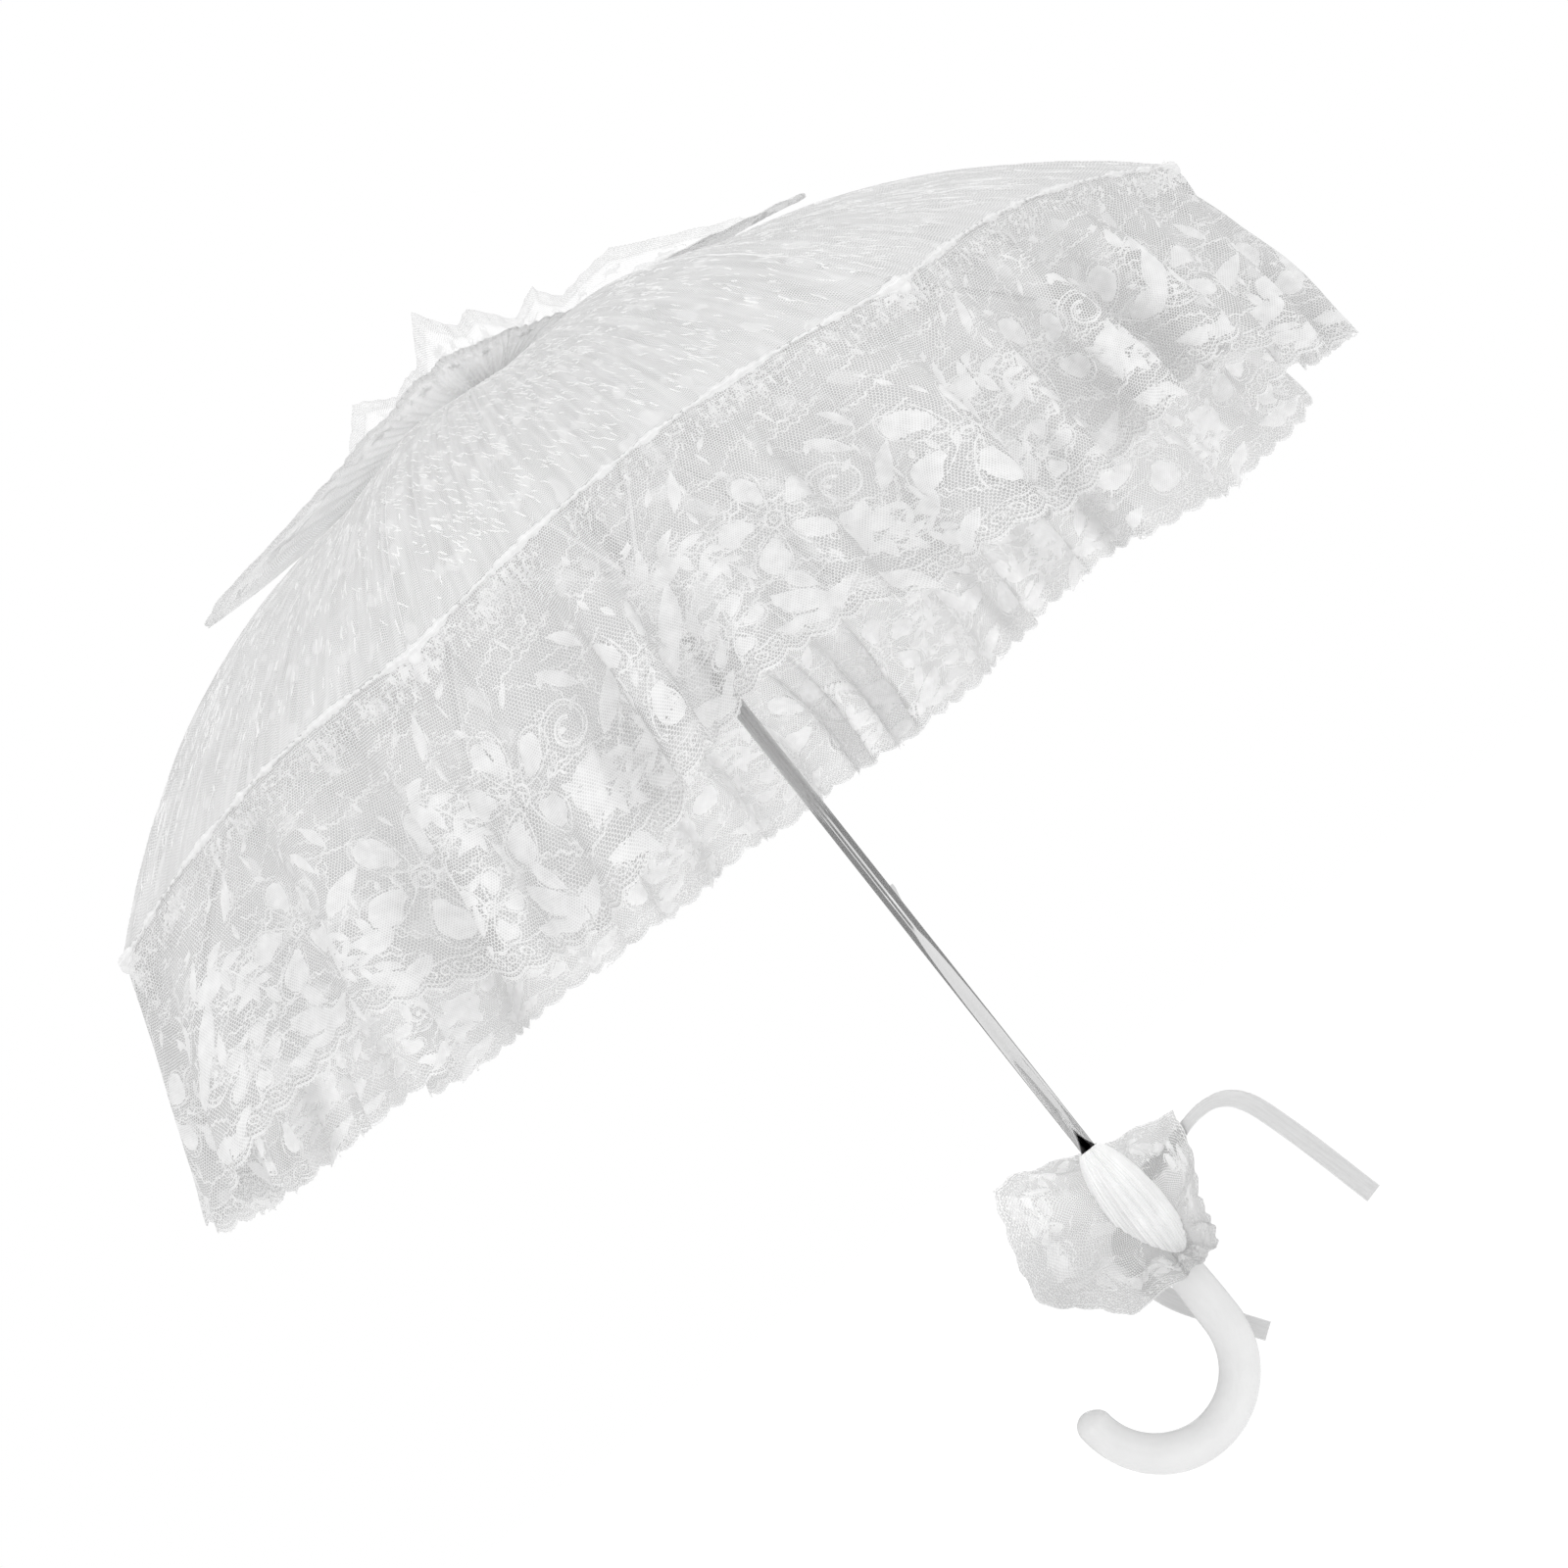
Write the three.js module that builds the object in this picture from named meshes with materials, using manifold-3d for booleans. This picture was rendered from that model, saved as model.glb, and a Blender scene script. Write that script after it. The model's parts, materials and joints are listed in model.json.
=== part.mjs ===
// A lace parasol: eight curved ribs on a steel shaft, a gathered lace canopy with a hanging lace
// ruffle, a lace frill round the ferrule, and a crook handle with a lace cuff tied by a ribbon.
// Millimetres, +Z towards the ferrule. The origin is on the shaft's axis where a hand grips it.
import * as THREE from 'three';
import { mergeVertices } from 'three/addons/utils/BufferGeometryUtils.js';
import Module from 'manifold-3d';

const wasm = await Module();
wasm.setup();

// Driving dimensions
const RIB_COUNT = 8;
const FIRST_RIB_DEG = 29.2;
const RIM_Z = 430;
const RIM_RADIUS = 340;
const DOME_RISE = 136;
const DOME_POWER = 2.6;
const SEAM_ARCH = 13;
const HALF_PANEL = Math.PI / RIB_COUNT;

const SHAFT_RADIUS = 4;
const SHAFT_BORE = 3.3;
const SHAFT_TOP = RIM_Z + 151;
const SHAFT_BOTTOM = 40.3;
const FIT_RADIUS = 4.3;

const RIB_WIDTH = 2.4;
const RIB_HEIGHT = 3;
const RIB_END = 336;
const PIVOT_RADIUS = 9;
const PIVOT_Z = RIM_Z + DOME_RISE;
const EYE_RADIUS = 1;
const PIN_RADIUS = 0.5;
const PIN_HOLE = 0.8;
const STRETCHER_JOINT_RADIUS = 150;
const STRETCHER_LENGTH = 165;
const STRETCHER_ANGLE = THREE.MathUtils.degToRad(32.94);
const STRETCHER_WIDTH = 2.2;
const STRETCHER_HEIGHT = 2.4;
const FORK_DEPTH = 10;
const FORK_TAIL = 1.2;
const FORK_GAP = 3;
const FORK_WIDTH = 5;

const SLOT_WIDTH = 3;
const COLLAR_RADIUS = 13;
const COLLAR_HEIGHT = 7;
const NOTCH_HUB_RADIUS = 7.2;
const RUNNER_PIVOT_Z = RIM_Z + 28.5;
const RUNNER_LENGTH = 48;
const RUNNER_RADIUS = 7;
const RUNNER_HUB_RADIUS = 7.2;
const RUNNER_WIRE_RADIUS = 7.8;
const WIRE_THICKNESS = 0.4;
const WIRE_CHANNEL = 0.75;
const KEYWAY_REACH = 5.9;
const KEYWAY_WIDTH = 2.4;

const CATCH_AZIMUTH = THREE.MathUtils.degToRad(6.7);
const CATCH_WIDTH = 1.6;
const CATCH_HEIGHT = 12;
const CATCH_NOSE = 5.6;
const CATCH_SLOT_WIDTH = 2.2;
const CATCH_SLOT_HEIGHT = 12.8;
const TOP_CATCH_Z = RIM_Z - 24;
const BOTTOM_CATCH_Z = RIM_Z - 186;

const GORE_INNER = 5.2;
const GORE_OUTER = 331;
const GORE_OUTER_BESIDE_TIPS = 339;
const GORE_CLEARANCE = 2.6;
const GORE_THICKNESS = 1.2;
const SEAM_GAP = 0.2;
const RUFFLE_RADIUS = 343.6;
const RUFFLE_TOP = 8;
const RUFFLE_DROP_AT_RIB = 140;
const RUFFLE_DROP_AT_MIDDLE = 98;
const RUFFLE_FLARE = 14;
const RUFFLE_WAVE = 9;
const RUFFLE_WAVES = 4;
const RUFFLE_THICKNESS = 2;

const FRILL_INNER = 10.5;
const FRILL_BASE_Z = RIM_Z + 143;
const FRILL_THICKNESS = 1.6;
const FRILL_SIDE = { radius: 186, z: 130 };
const FRILL_FAR = { radius: 150, z: 190 };
const FRILL_NEAR = { radius: 74, z: 198 };

const FERRULE_BASE_Z = RIM_Z + 140.2;
const FERRULE_TIP_Z = RIM_Z + 172;

const HANDLE_TOP = 80;
const CROOK_START = -16;
const CROOK_RADIUS = 41;
const CROOK_TURN = THREE.MathUtils.degToRad(186);
const HANDLE_RADIUS_TOP = 7;
const HANDLE_RADIUS_MIDDLE = 10.2;
const HANDLE_RADIUS_END = 8;
const SOCKET_DEPTH = 40;
const CUFF_THICKNESS = 1.3;
const CUFF_LOBES = 7;
const RIBBON_WIDTH = 10;
const RIBBON_THICKNESS = 0.9;
const RIBBON_Z = 58;

function material(name, color, roughness, metalness) {
  return new THREE.MeshStandardMaterial({ name, color, roughness, metalness });
}

const STEEL = material('polished_steel', 0xc8c9cb, 0.18, 1);
const WHITE_METAL = material('white_painted_metal', 0xe9e9e7, 0.45, 0.1);
const GLOSS_WHITE = material('glossy_white_plastic', 0xf4f4f2, 0.12, 0);
const LACE = material('white_lace', 0xf0f0ee, 0.85, 0);
const SATIN = material('white_satin', 0xf2f2f0, 0.4, 0);

// Booleans

function toSolid(geometry) {
  const bare = geometry.clone();
  bare.deleteAttribute('normal');
  bare.deleteAttribute('uv');
  const merged = mergeVertices(bare, 1e-4);
  const vertProperties = new Float32Array(merged.attributes.position.array);
  const triVerts = new Uint32Array(merged.index.array);
  return new wasm.Manifold(new wasm.Mesh({ numProp: 3, vertProperties, triVerts }));
}

function toGeometry(solid) {
  const mesh = solid.getMesh();
  const geometry = new THREE.BufferGeometry();
  geometry.setAttribute('position', new THREE.BufferAttribute(mesh.vertProperties, 3));
  geometry.setIndex(new THREE.BufferAttribute(mesh.triVerts, 1));
  return geometry;
}

function cut(geometry, ...tools) {
  return toGeometry(tools.reduce((solid, tool) => solid.subtract(toSolid(tool)), toSolid(geometry)));
}

function join(geometry, ...others) {
  return toGeometry(others.reduce((solid, other) => solid.add(toSolid(other)), toSolid(geometry)));
}

// Basic forms

// A lathe form about Z from [radius, z] pairs.
function turned(pairs, segments) {
  const profile = pairs.map(([radius, z]) => new THREE.Vector2(radius, z));
  return new THREE.LatheGeometry(profile, segments).rotateX(Math.PI / 2);
}

function tube(inner, outer, low, high, segments) {
  return turned([[inner, low], [outer, low], [outer, high], [inner, high], [inner, low]], segments);
}

function wireRing(radius, z, thickness, segments) {
  const section = [];
  for (let i = 0; i <= 6; i++) {
    const angle = (i / 6) * 2 * Math.PI;
    section.push([radius + thickness * Math.cos(angle), z + thickness * Math.sin(angle)]);
  }
  return turned(section, segments);
}

// An outline in the XZ plane, given real thickness along Y and centred on it.
function plate(shape, width) {
  const geometry = new THREE.ExtrudeGeometry(shape, {
    depth: width, bevelEnabled: false, curveSegments: 4,
  });
  return geometry.rotateX(Math.PI / 2).translate(0, width / 2, 0);
}

function radialBox(from, to, width, low, high, azimuth) {
  return new THREE.BoxGeometry(to - from, width, high - low)
    .translate((from + to) / 2, 0, (low + high) / 2)
    .rotateZ(azimuth);
}

// A closed sheet: point(u, v, side) gives its two faces, side 0 below or inside, side 1 outside.
function closedSheet(point, columns, rows) {
  const positions = [];
  const index = [];
  for (let side = 0; side < 2; side++) {
    for (let j = 0; j <= rows; j++) {
      for (let i = 0; i <= columns; i++) {
        positions.push(...point(i / columns, j / rows, side));
      }
    }
  }
  const layer = (columns + 1) * (rows + 1);
  const at = (i, j, side) => side * layer + j * (columns + 1) + i;
  const quad = (a, b, c, d) => index.push(a, b, c, a, c, d);
  for (let j = 0; j < rows; j++) {
    for (let i = 0; i < columns; i++) {
      quad(at(i, j, 1), at(i, j + 1, 1), at(i + 1, j + 1, 1), at(i + 1, j, 1));
      quad(at(i, j, 0), at(i + 1, j, 0), at(i + 1, j + 1, 0), at(i, j + 1, 0));
    }
    quad(at(0, j, 0), at(0, j + 1, 0), at(0, j + 1, 1), at(0, j, 1));
    quad(at(columns, j, 0), at(columns, j, 1), at(columns, j + 1, 1), at(columns, j + 1, 0));
  }
  for (let i = 0; i < columns; i++) {
    quad(at(i, 0, 0), at(i, 0, 1), at(i + 1, 0, 1), at(i + 1, 0, 0));
    quad(at(i, rows, 0), at(i + 1, rows, 0), at(i + 1, rows, 1), at(i, rows, 1));
  }
  const geometry = new THREE.BufferGeometry();
  geometry.setAttribute('position', new THREE.Float32BufferAttribute(positions, 3));
  geometry.setIndex(index);
  return geometry;
}

// A round bar of varying radius along a path, closed by a point at each end.
function taperedBar(place, radiusAt, steps, sides) {
  const positions = [...place(0).centre.toArray()];
  const index = [];
  for (let k = 0; k <= steps; k++) {
    const { centre, across } = place(k / steps);
    for (let i = 0; i < sides; i++) {
      const angle = (i / sides) * 2 * Math.PI;
      const radius = radiusAt(k / steps);
      const offset = across.clone().multiplyScalar(radius * Math.cos(angle));
      positions.push(...centre.clone().add(offset).setY(radius * Math.sin(angle)).toArray());
    }
  }
  positions.push(...place(1).centre.toArray());
  const last = positions.length / 3 - 1;
  const at = (k, i) => 1 + k * sides + (i % sides);
  for (let i = 0; i < sides; i++) {
    index.push(0, at(0, i), at(0, i + 1));
    index.push(last, at(steps, i + 1), at(steps, i));
    for (let k = 0; k < steps; k++) {
      index.push(at(k, i), at(k + 1, i + 1), at(k, i + 1));
      index.push(at(k, i), at(k + 1, i), at(k + 1, i + 1));
    }
  }
  const geometry = new THREE.BufferGeometry();
  geometry.setAttribute('position', new THREE.Float32BufferAttribute(positions, 3));
  geometry.setIndex(index);
  return geometry;
}

// The dome that the ribs' centrelines follow

function domeZ(radius) {
  return RIM_Z + DOME_RISE * (1 - (radius / RIM_RADIUS) ** DOME_POWER);
}

function domeSlope(radius) {
  return (-DOME_RISE * DOME_POWER / RIM_RADIUS) * (radius / RIM_RADIUS) ** (DOME_POWER - 1);
}

// A point at a distance off the dome's curve, square to it.
function offDome(radius, distance) {
  const slope = domeSlope(radius);
  const length = Math.hypot(1, slope);
  return new THREE.Vector2(
    radius - (distance * slope) / length,
    domeZ(radius) + distance / length,
  );
}

// Cloth between two ribs is flat along the chord, so it lies nearer the shaft than the ribs do.
function chordFactor(angle) {
  return Math.cos(HALF_PANEL) / Math.cos(HALF_PANEL - Math.abs(angle));
}

function seamArch(share) {
  return SEAM_ARCH * (2 * Math.abs(share) - share * share);
}

// The angle from the rib for a share of half a panel, less the gap beside the next panel.
function panelAngle(share, radius) {
  return share * (HALF_PANEL - Math.asin(SEAM_GAP / radius));
}

// Shaft and its fittings

function catchSlot(z) {
  const half = CATCH_SLOT_HEIGHT / 2;
  return radialBox(2, 5, CATCH_SLOT_WIDTH, z - half, z + half, CATCH_AZIMUTH);
}

function shaftTube() {
  const pipe = tube(SHAFT_BORE, SHAFT_RADIUS, SHAFT_BOTTOM, SHAFT_TOP, 16);
  return cut(pipe, catchSlot(TOP_CATCH_Z), catchSlot(BOTTOM_CATCH_Z));
}

// A sprung nose in the shaft: square on top, sloping away below.
function catchNose(z) {
  const half = CATCH_HEIGHT / 2;
  const outline = new THREE.Shape();
  outline.moveTo(1.4, z - half);
  outline.lineTo(SHAFT_RADIUS - 0.6, z - half);
  outline.lineTo(CATCH_NOSE, z + half - 2.5);
  outline.lineTo(CATCH_NOSE, z + half);
  outline.lineTo(1.4, z + half);
  outline.closePath();
  return plate(outline, CATCH_WIDTH).rotateZ(CATCH_AZIMUTH);
}

function ferrule() {
  return turned([
    [FIT_RADIUS, FERRULE_BASE_Z], [8, FERRULE_BASE_Z], [8, FERRULE_BASE_Z + 4],
    [6, FERRULE_BASE_Z + 8], [5.6, FERRULE_TIP_Z - 10], [4.6, FERRULE_TIP_Z - 2],
    [3, FERRULE_TIP_Z], [0, FERRULE_TIP_Z], [0, SHAFT_TOP + 0.4],
    [FIT_RADIUS, SHAFT_TOP + 0.4], [FIT_RADIUS, FERRULE_BASE_Z],
  ], 14);
}

function slotsRound(hub, low, high) {
  return Array.from({ length: RIB_COUNT }, (_, k) => (
    radialBox(hub, COLLAR_RADIUS + 1, SLOT_WIDTH, low - 1, high + 1, ribAzimuth(k))
  ));
}

function topNotch() {
  const low = PIVOT_Z - COLLAR_HEIGHT + 1.7;
  const high = PIVOT_Z + 1.7;
  const disc = tube(FIT_RADIUS, COLLAR_RADIUS, low, high, 24);
  const channel = wireRing(PIVOT_RADIUS, PIVOT_Z, WIRE_CHANNEL, 24);
  return cut(disc, ...slotsRound(NOTCH_HUB_RADIUS, low, high), channel);
}

function runner() {
  const high = RUNNER_PIVOT_Z + COLLAR_HEIGHT / 2;
  const low = high - COLLAR_HEIGHT;
  const bottom = high - RUNNER_LENGTH;
  const body = turned([
    [FIT_RADIUS, bottom], [9.5, bottom], [9.5, bottom + 3], [RUNNER_RADIUS, bottom + 5],
    [RUNNER_RADIUS, low - 2], [COLLAR_RADIUS - 1, low], [COLLAR_RADIUS - 1, high],
    [FIT_RADIUS, high], [FIT_RADIUS, bottom],
  ], 24);
  const keyway = radialBox(3, KEYWAY_REACH, KEYWAY_WIDTH, bottom - 1, high + 1, CATCH_AZIMUTH);
  const channel = wireRing(RUNNER_WIRE_RADIUS, RUNNER_PIVOT_Z, WIRE_CHANNEL - 0.1, 24);
  return cut(body, keyway, ...slotsRound(RUNNER_HUB_RADIUS, low - 3, high), channel);
}

// Ribs, their tips and stretchers, each drawn along +X and turned to its azimuth

function ribAzimuth(k) {
  return THREE.MathUtils.degToRad(FIRST_RIB_DEG) + k * 2 * HALF_PANEL;
}

function hole(x, z, radius) {
  const path = new THREE.Path();
  path.absarc(x, z, radius, 0, 2 * Math.PI, true);
  return path;
}

function rib() {
  const steps = 14;
  const edge = (side) => Array.from({ length: steps + 1 }, (_, i) => (
    offDome(PIVOT_RADIUS + ((RIB_END - PIVOT_RADIUS) * i) / steps, (side * RIB_HEIGHT) / 2)
  ));
  const outline = new THREE.Shape([...edge(-1), ...edge(1).reverse()]);
  outline.absarc(PIVOT_RADIUS, PIVOT_Z, RIB_HEIGHT / 2, Math.PI / 2, 1.5 * Math.PI, false);
  outline.holes.push(hole(PIVOT_RADIUS, PIVOT_Z, EYE_RADIUS));
  outline.holes.push(hole(STRETCHER_JOINT_RADIUS, domeZ(STRETCHER_JOINT_RADIUS), PIN_HOLE));
  return plate(outline, RIB_WIDTH);
}

// A ball with a sleeve that covers the rib's end.
function ribTip() {
  const ballCentre = 4.2;
  const ballRadius = 3.4;
  const pairs = [[0, 0.4], [2.25, 0.4], [2.25, -5], [3, -5]];
  for (const degrees of [-28, 10, 45, 70]) {
    const angle = THREE.MathUtils.degToRad(degrees);
    pairs.push([ballRadius * Math.cos(angle), ballCentre + ballRadius * Math.sin(angle)]);
  }
  pairs.push([0, ballCentre + ballRadius]);
  const direction = Math.PI / 2 - Math.atan(domeSlope(RIB_END));
  return turned(pairs, 8)
    .rotateY(direction)
    .translate(RIB_END, 0, domeZ(RIB_END));
}

// A flat bar with a fork at the rib, its pin across the fork, and an open lower end.
function stretcher() {
  const bar = STRETCHER_WIDTH / 2;
  const fork = FORK_WIDTH / 2;
  const gap = FORK_GAP / 2;
  const outline = new THREE.Shape();
  outline.moveTo(-FORK_TAIL, gap);
  outline.lineTo(FORK_DEPTH, gap);
  outline.lineTo(FORK_DEPTH, -gap);
  outline.lineTo(-FORK_TAIL, -gap);
  outline.lineTo(-FORK_TAIL, -fork);
  outline.lineTo(FORK_DEPTH + 2, -fork);
  outline.lineTo(FORK_DEPTH + 6, -bar);
  outline.lineTo(STRETCHER_LENGTH, -bar);
  outline.lineTo(STRETCHER_LENGTH, bar);
  outline.lineTo(FORK_DEPTH + 6, bar);
  outline.lineTo(FORK_DEPTH + 2, fork);
  outline.lineTo(-FORK_TAIL, fork);
  outline.closePath();
  const blade = new THREE.ExtrudeGeometry(outline, { depth: STRETCHER_HEIGHT, bevelEnabled: false })
    .translate(0, 0, -STRETCHER_HEIGHT / 2);
  const pin = new THREE.CylinderGeometry(PIN_RADIUS, PIN_RADIUS, FORK_WIDTH - 0.4, 8);
  return join(blade, pin)
    .rotateY(Math.PI - STRETCHER_ANGLE)
    .translate(STRETCHER_JOINT_RADIUS, 0, domeZ(STRETCHER_JOINT_RADIUS));
}

// Cloth: the canopy in gores, each centred on a rib

function gore() {
  return closedSheet((u, v, side) => {
    const share = 2 * u - 1;
    const beside = Math.min(1, 2 * Math.abs(share));
    const outer = GORE_OUTER + (GORE_OUTER_BESIDE_TIPS - GORE_OUTER) * beside;
    const radius = GORE_INNER + (outer - GORE_INNER) * v;
    const angle = panelAngle(share, radius);
    const { x, y } = offDome(radius, GORE_CLEARANCE + GORE_THICKNESS * side);
    const across = x * chordFactor(angle);
    const lift = seamArch(share) * (radius / RIM_RADIUS) ** 4;
    return [across * Math.cos(angle), across * Math.sin(angle), y + lift];
  }, 4, 12);
}

// The ruffle hangs from the seam between two rib tips, deepest below the tips.
function ruffle() {
  return closedSheet((u, v, side) => {
    const share = 2 * u - 1;
    const angle = panelAngle(share, RUFFLE_RADIUS);
    const fullness = Math.cos((share * Math.PI) / 2) ** 2;
    const hem = -RUFFLE_DROP_AT_MIDDLE - (RUFFLE_DROP_AT_RIB - RUFFLE_DROP_AT_MIDDLE) * fullness;
    const top = RUFFLE_TOP + seamArch(share);
    const down = 1 - v;
    const wave = RUFFLE_WAVE * down * (1 + Math.cos(share * RUFFLE_WAVES * Math.PI)) / 2;
    const reach = RUFFLE_RADIUS + RUFFLE_THICKNESS * side + RUFFLE_FLARE * down + wave;
    const across = reach * chordFactor(angle);
    const z = RIM_Z + top + (hem - top) * down;
    return [across * Math.cos(angle), across * Math.sin(angle), z];
  }, 16, 3).scale(1, -1, 1);
}

// The frill lies out to the sides, and stands up in front of and behind the ferrule.
function frillEdge(azimuth) {
  const sine = Math.sin(azimuth);
  const upright = sine > 0 ? FRILL_FAR : FRILL_NEAR;
  return {
    radius: FRILL_SIDE.radius + (upright.radius - FRILL_SIDE.radius) * sine * sine,
    z: RIM_Z + FRILL_SIDE.z + (upright.z - FRILL_SIDE.z) * sine * sine,
  };
}

function frill(k) {
  return closedSheet((u, v, side) => {
    const middle = ribAzimuth(k);
    const start = middle + (2 * u - 1) * HALF_PANEL;
    const edge = frillEdge(start);
    const radius = FRILL_INNER + (edge.radius - FRILL_INNER) * v;
    const angle = middle + panelAngle(2 * u - 1, radius);
    const lobe = 12 * v * (1 + Math.cos(start * 2 * RIB_COUNT)) / 2;
    const z = FRILL_BASE_Z + (edge.z - FRILL_BASE_Z) * v + lobe + FRILL_THICKNESS * side;
    return [radius * Math.cos(angle), radius * Math.sin(angle), z];
  }, 8, 4);
}

// Handle, cuff and ribbon

// The handle's middle line: straight down the axis, then a half turn towards -X.
function handleLine(share) {
  const straight = HANDLE_TOP - CROOK_START;
  const whole = straight + CROOK_RADIUS * CROOK_TURN;
  const along = share * whole;
  if (along <= straight) {
    return {
      centre: new THREE.Vector3(0, 0, HANDLE_TOP - along),
      across: new THREE.Vector3(1, 0, 0),
    };
  }
  const turn = (along - straight) / CROOK_RADIUS;
  return {
    centre: new THREE.Vector3(
      CROOK_RADIUS * (Math.cos(turn) - 1), 0, CROOK_START - CROOK_RADIUS * Math.sin(turn),
    ),
    across: new THREE.Vector3(Math.cos(turn), 0, -Math.sin(turn)),
  };
}

function handleRadius(share) {
  const swell = THREE.MathUtils.smoothstep(share, 0.05, 0.4);
  const taper = THREE.MathUtils.smoothstep(share, 0.6, 0.97);
  const body = HANDLE_RADIUS_TOP + (HANDLE_RADIUS_MIDDLE - HANDLE_RADIUS_TOP) * swell
    + (HANDLE_RADIUS_END - HANDLE_RADIUS_MIDDLE) * taper;
  const toEnd = Math.min(1, (1 - share) / 0.035);
  return body * Math.sqrt(Math.max(0.09, 1 - (1 - toEnd) ** 2));
}

function crookHandle() {
  const bar = taperedBar(handleLine, handleRadius, 30, 12);
  const socket = new THREE.CylinderGeometry(FIT_RADIUS, FIT_RADIUS, SOCKET_DEPTH + 1, 12)
    .rotateX(Math.PI / 2)
    .translate(0, 0, HANDLE_TOP + 1 - (SOCKET_DEPTH + 1) / 2);
  return cut(bar, socket);
}

// The cuff is drawn in by its ribbon and flares into lobes above and below.
function handleCuff() {
  const line = new THREE.SplineCurve([
    new THREE.Vector2(50, 99), new THREE.Vector2(30, 88), new THREE.Vector2(15, 76),
    new THREE.Vector2(10.5, 66), new THREE.Vector2(10.3, RIBBON_Z), new THREE.Vector2(10.5, 50),
    new THREE.Vector2(15, 40), new THREE.Vector2(29, 28), new THREE.Vector2(46, 15),
  ]);
  const steps = 10;
  const edge = (side) => Array.from({ length: steps + 1 }, (_, i) => {
    const point = line.getPoint(i / steps);
    const tangent = line.getTangent(i / steps);
    const offset = (side * CUFF_THICKNESS) / 2;
    return [point.x - tangent.y * offset, point.y + tangent.x * offset];
  });
  const outer = edge(1);
  const inner = edge(-1);
  const geometry = turned([...inner, ...outer.reverse(), inner[0]], 28);
  const position = geometry.attributes.position;
  for (let i = 0; i < position.count; i++) {
    const x = position.getX(i);
    const y = position.getY(i);
    const open = Math.max(0, Math.hypot(x, y) - 16) / 34;
    const lobe = 1 + 0.14 * open * Math.cos(CUFF_LOBES * Math.atan2(y, x));
    position.setXY(i, x * lobe, y * lobe);
  }
  return geometry;
}

// A flat tail along a path; the two sizes are its section, one of them the ribbon's width.
function ribbonTail(points, sizeX, sizeY) {
  const curve = new THREE.CatmullRomCurve3(points.map((p) => new THREE.Vector3(...p)));
  const section = new THREE.Shape();
  section.moveTo(-sizeX / 2, -sizeY / 2);
  section.lineTo(sizeX / 2, -sizeY / 2);
  section.lineTo(sizeX / 2, sizeY / 2);
  section.lineTo(-sizeX / 2, sizeY / 2);
  section.closePath();
  return new THREE.ExtrudeGeometry(section, {
    steps: 12, extrudePath: curve, bevelEnabled: false,
  });
}

function cuffRibbon() {
  const band = tube(12, 13.2, RIBBON_Z - RIBBON_WIDTH / 2, RIBBON_Z + RIBBON_WIDTH / 2, 20);
  const longTail = ribbonTail([
    [12.2, -3, RIBBON_Z], [32, -10, 59], [55, -12, 57], [76, -12, 48], [92, -12, 15], [101, -12, -34],
  ], RIBBON_WIDTH, RIBBON_THICKNESS);
  const shortTail = ribbonTail([
    [-6, 11, RIBBON_Z], [-16, 32, 54], [-24, 54, 36], [-25, 58, 12], [-20, 44, -9], [-7, 27, -30],
    [14, 20, -53],
  ], RIBBON_THICKNESS, RIBBON_WIDTH);
  return join(band, longTail, shortTail);
}

// Assembly

const parasol = new THREE.Group();

function add(name, geometry, finish, azimuth = 0) {
  const mesh = new THREE.Mesh(geometry, finish);
  mesh.name = name;
  const turn = new THREE.Group();
  turn.rotation.z = azimuth;
  turn.add(mesh);
  parasol.add(turn);
}

add('shaft_tube', shaftTube(), STEEL);
add('ferrule', ferrule(), GLOSS_WHITE);
add('top_notch', topNotch(), GLOSS_WHITE);
add('notch_wire', wireRing(PIVOT_RADIUS, PIVOT_Z, WIRE_THICKNESS, 24), STEEL);
add('runner', runner(), GLOSS_WHITE);
add('runner_wire', wireRing(RUNNER_WIRE_RADIUS, RUNNER_PIVOT_Z, WIRE_THICKNESS, 24), STEEL);
add('top_catch', catchNose(TOP_CATCH_Z), STEEL);
add('bottom_catch', catchNose(BOTTOM_CATCH_Z), STEEL);
add('crook_handle', crookHandle(), GLOSS_WHITE);
add('handle_cuff', handleCuff(), LACE);
add('cuff_ribbon', cuffRibbon(), SATIN);

for (let k = 0; k < RIB_COUNT; k++) {
  const azimuth = ribAzimuth(k);
  add(`rib_${k + 1}`, rib(), WHITE_METAL, azimuth);
  add(`rib_tip_${k + 1}`, ribTip(), GLOSS_WHITE, azimuth);
  add(`stretcher_${k + 1}`, stretcher(), WHITE_METAL, azimuth);
  add(`canopy_gore_${k + 1}`, gore(), LACE, azimuth);
  add(`ruffle_${k + 1}`, ruffle(), LACE, azimuth);
  add(`top_frill_${k + 1}`, frill(k), LACE);
}

export default parasol;
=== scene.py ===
"""The lace parasol's looks: gathered net canopy, floral lace ruffle, top frill, crook handle and cuff."""

import json
import math
import random

import bpy
import numpy as np
from mathutils import Matrix, Vector


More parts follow.
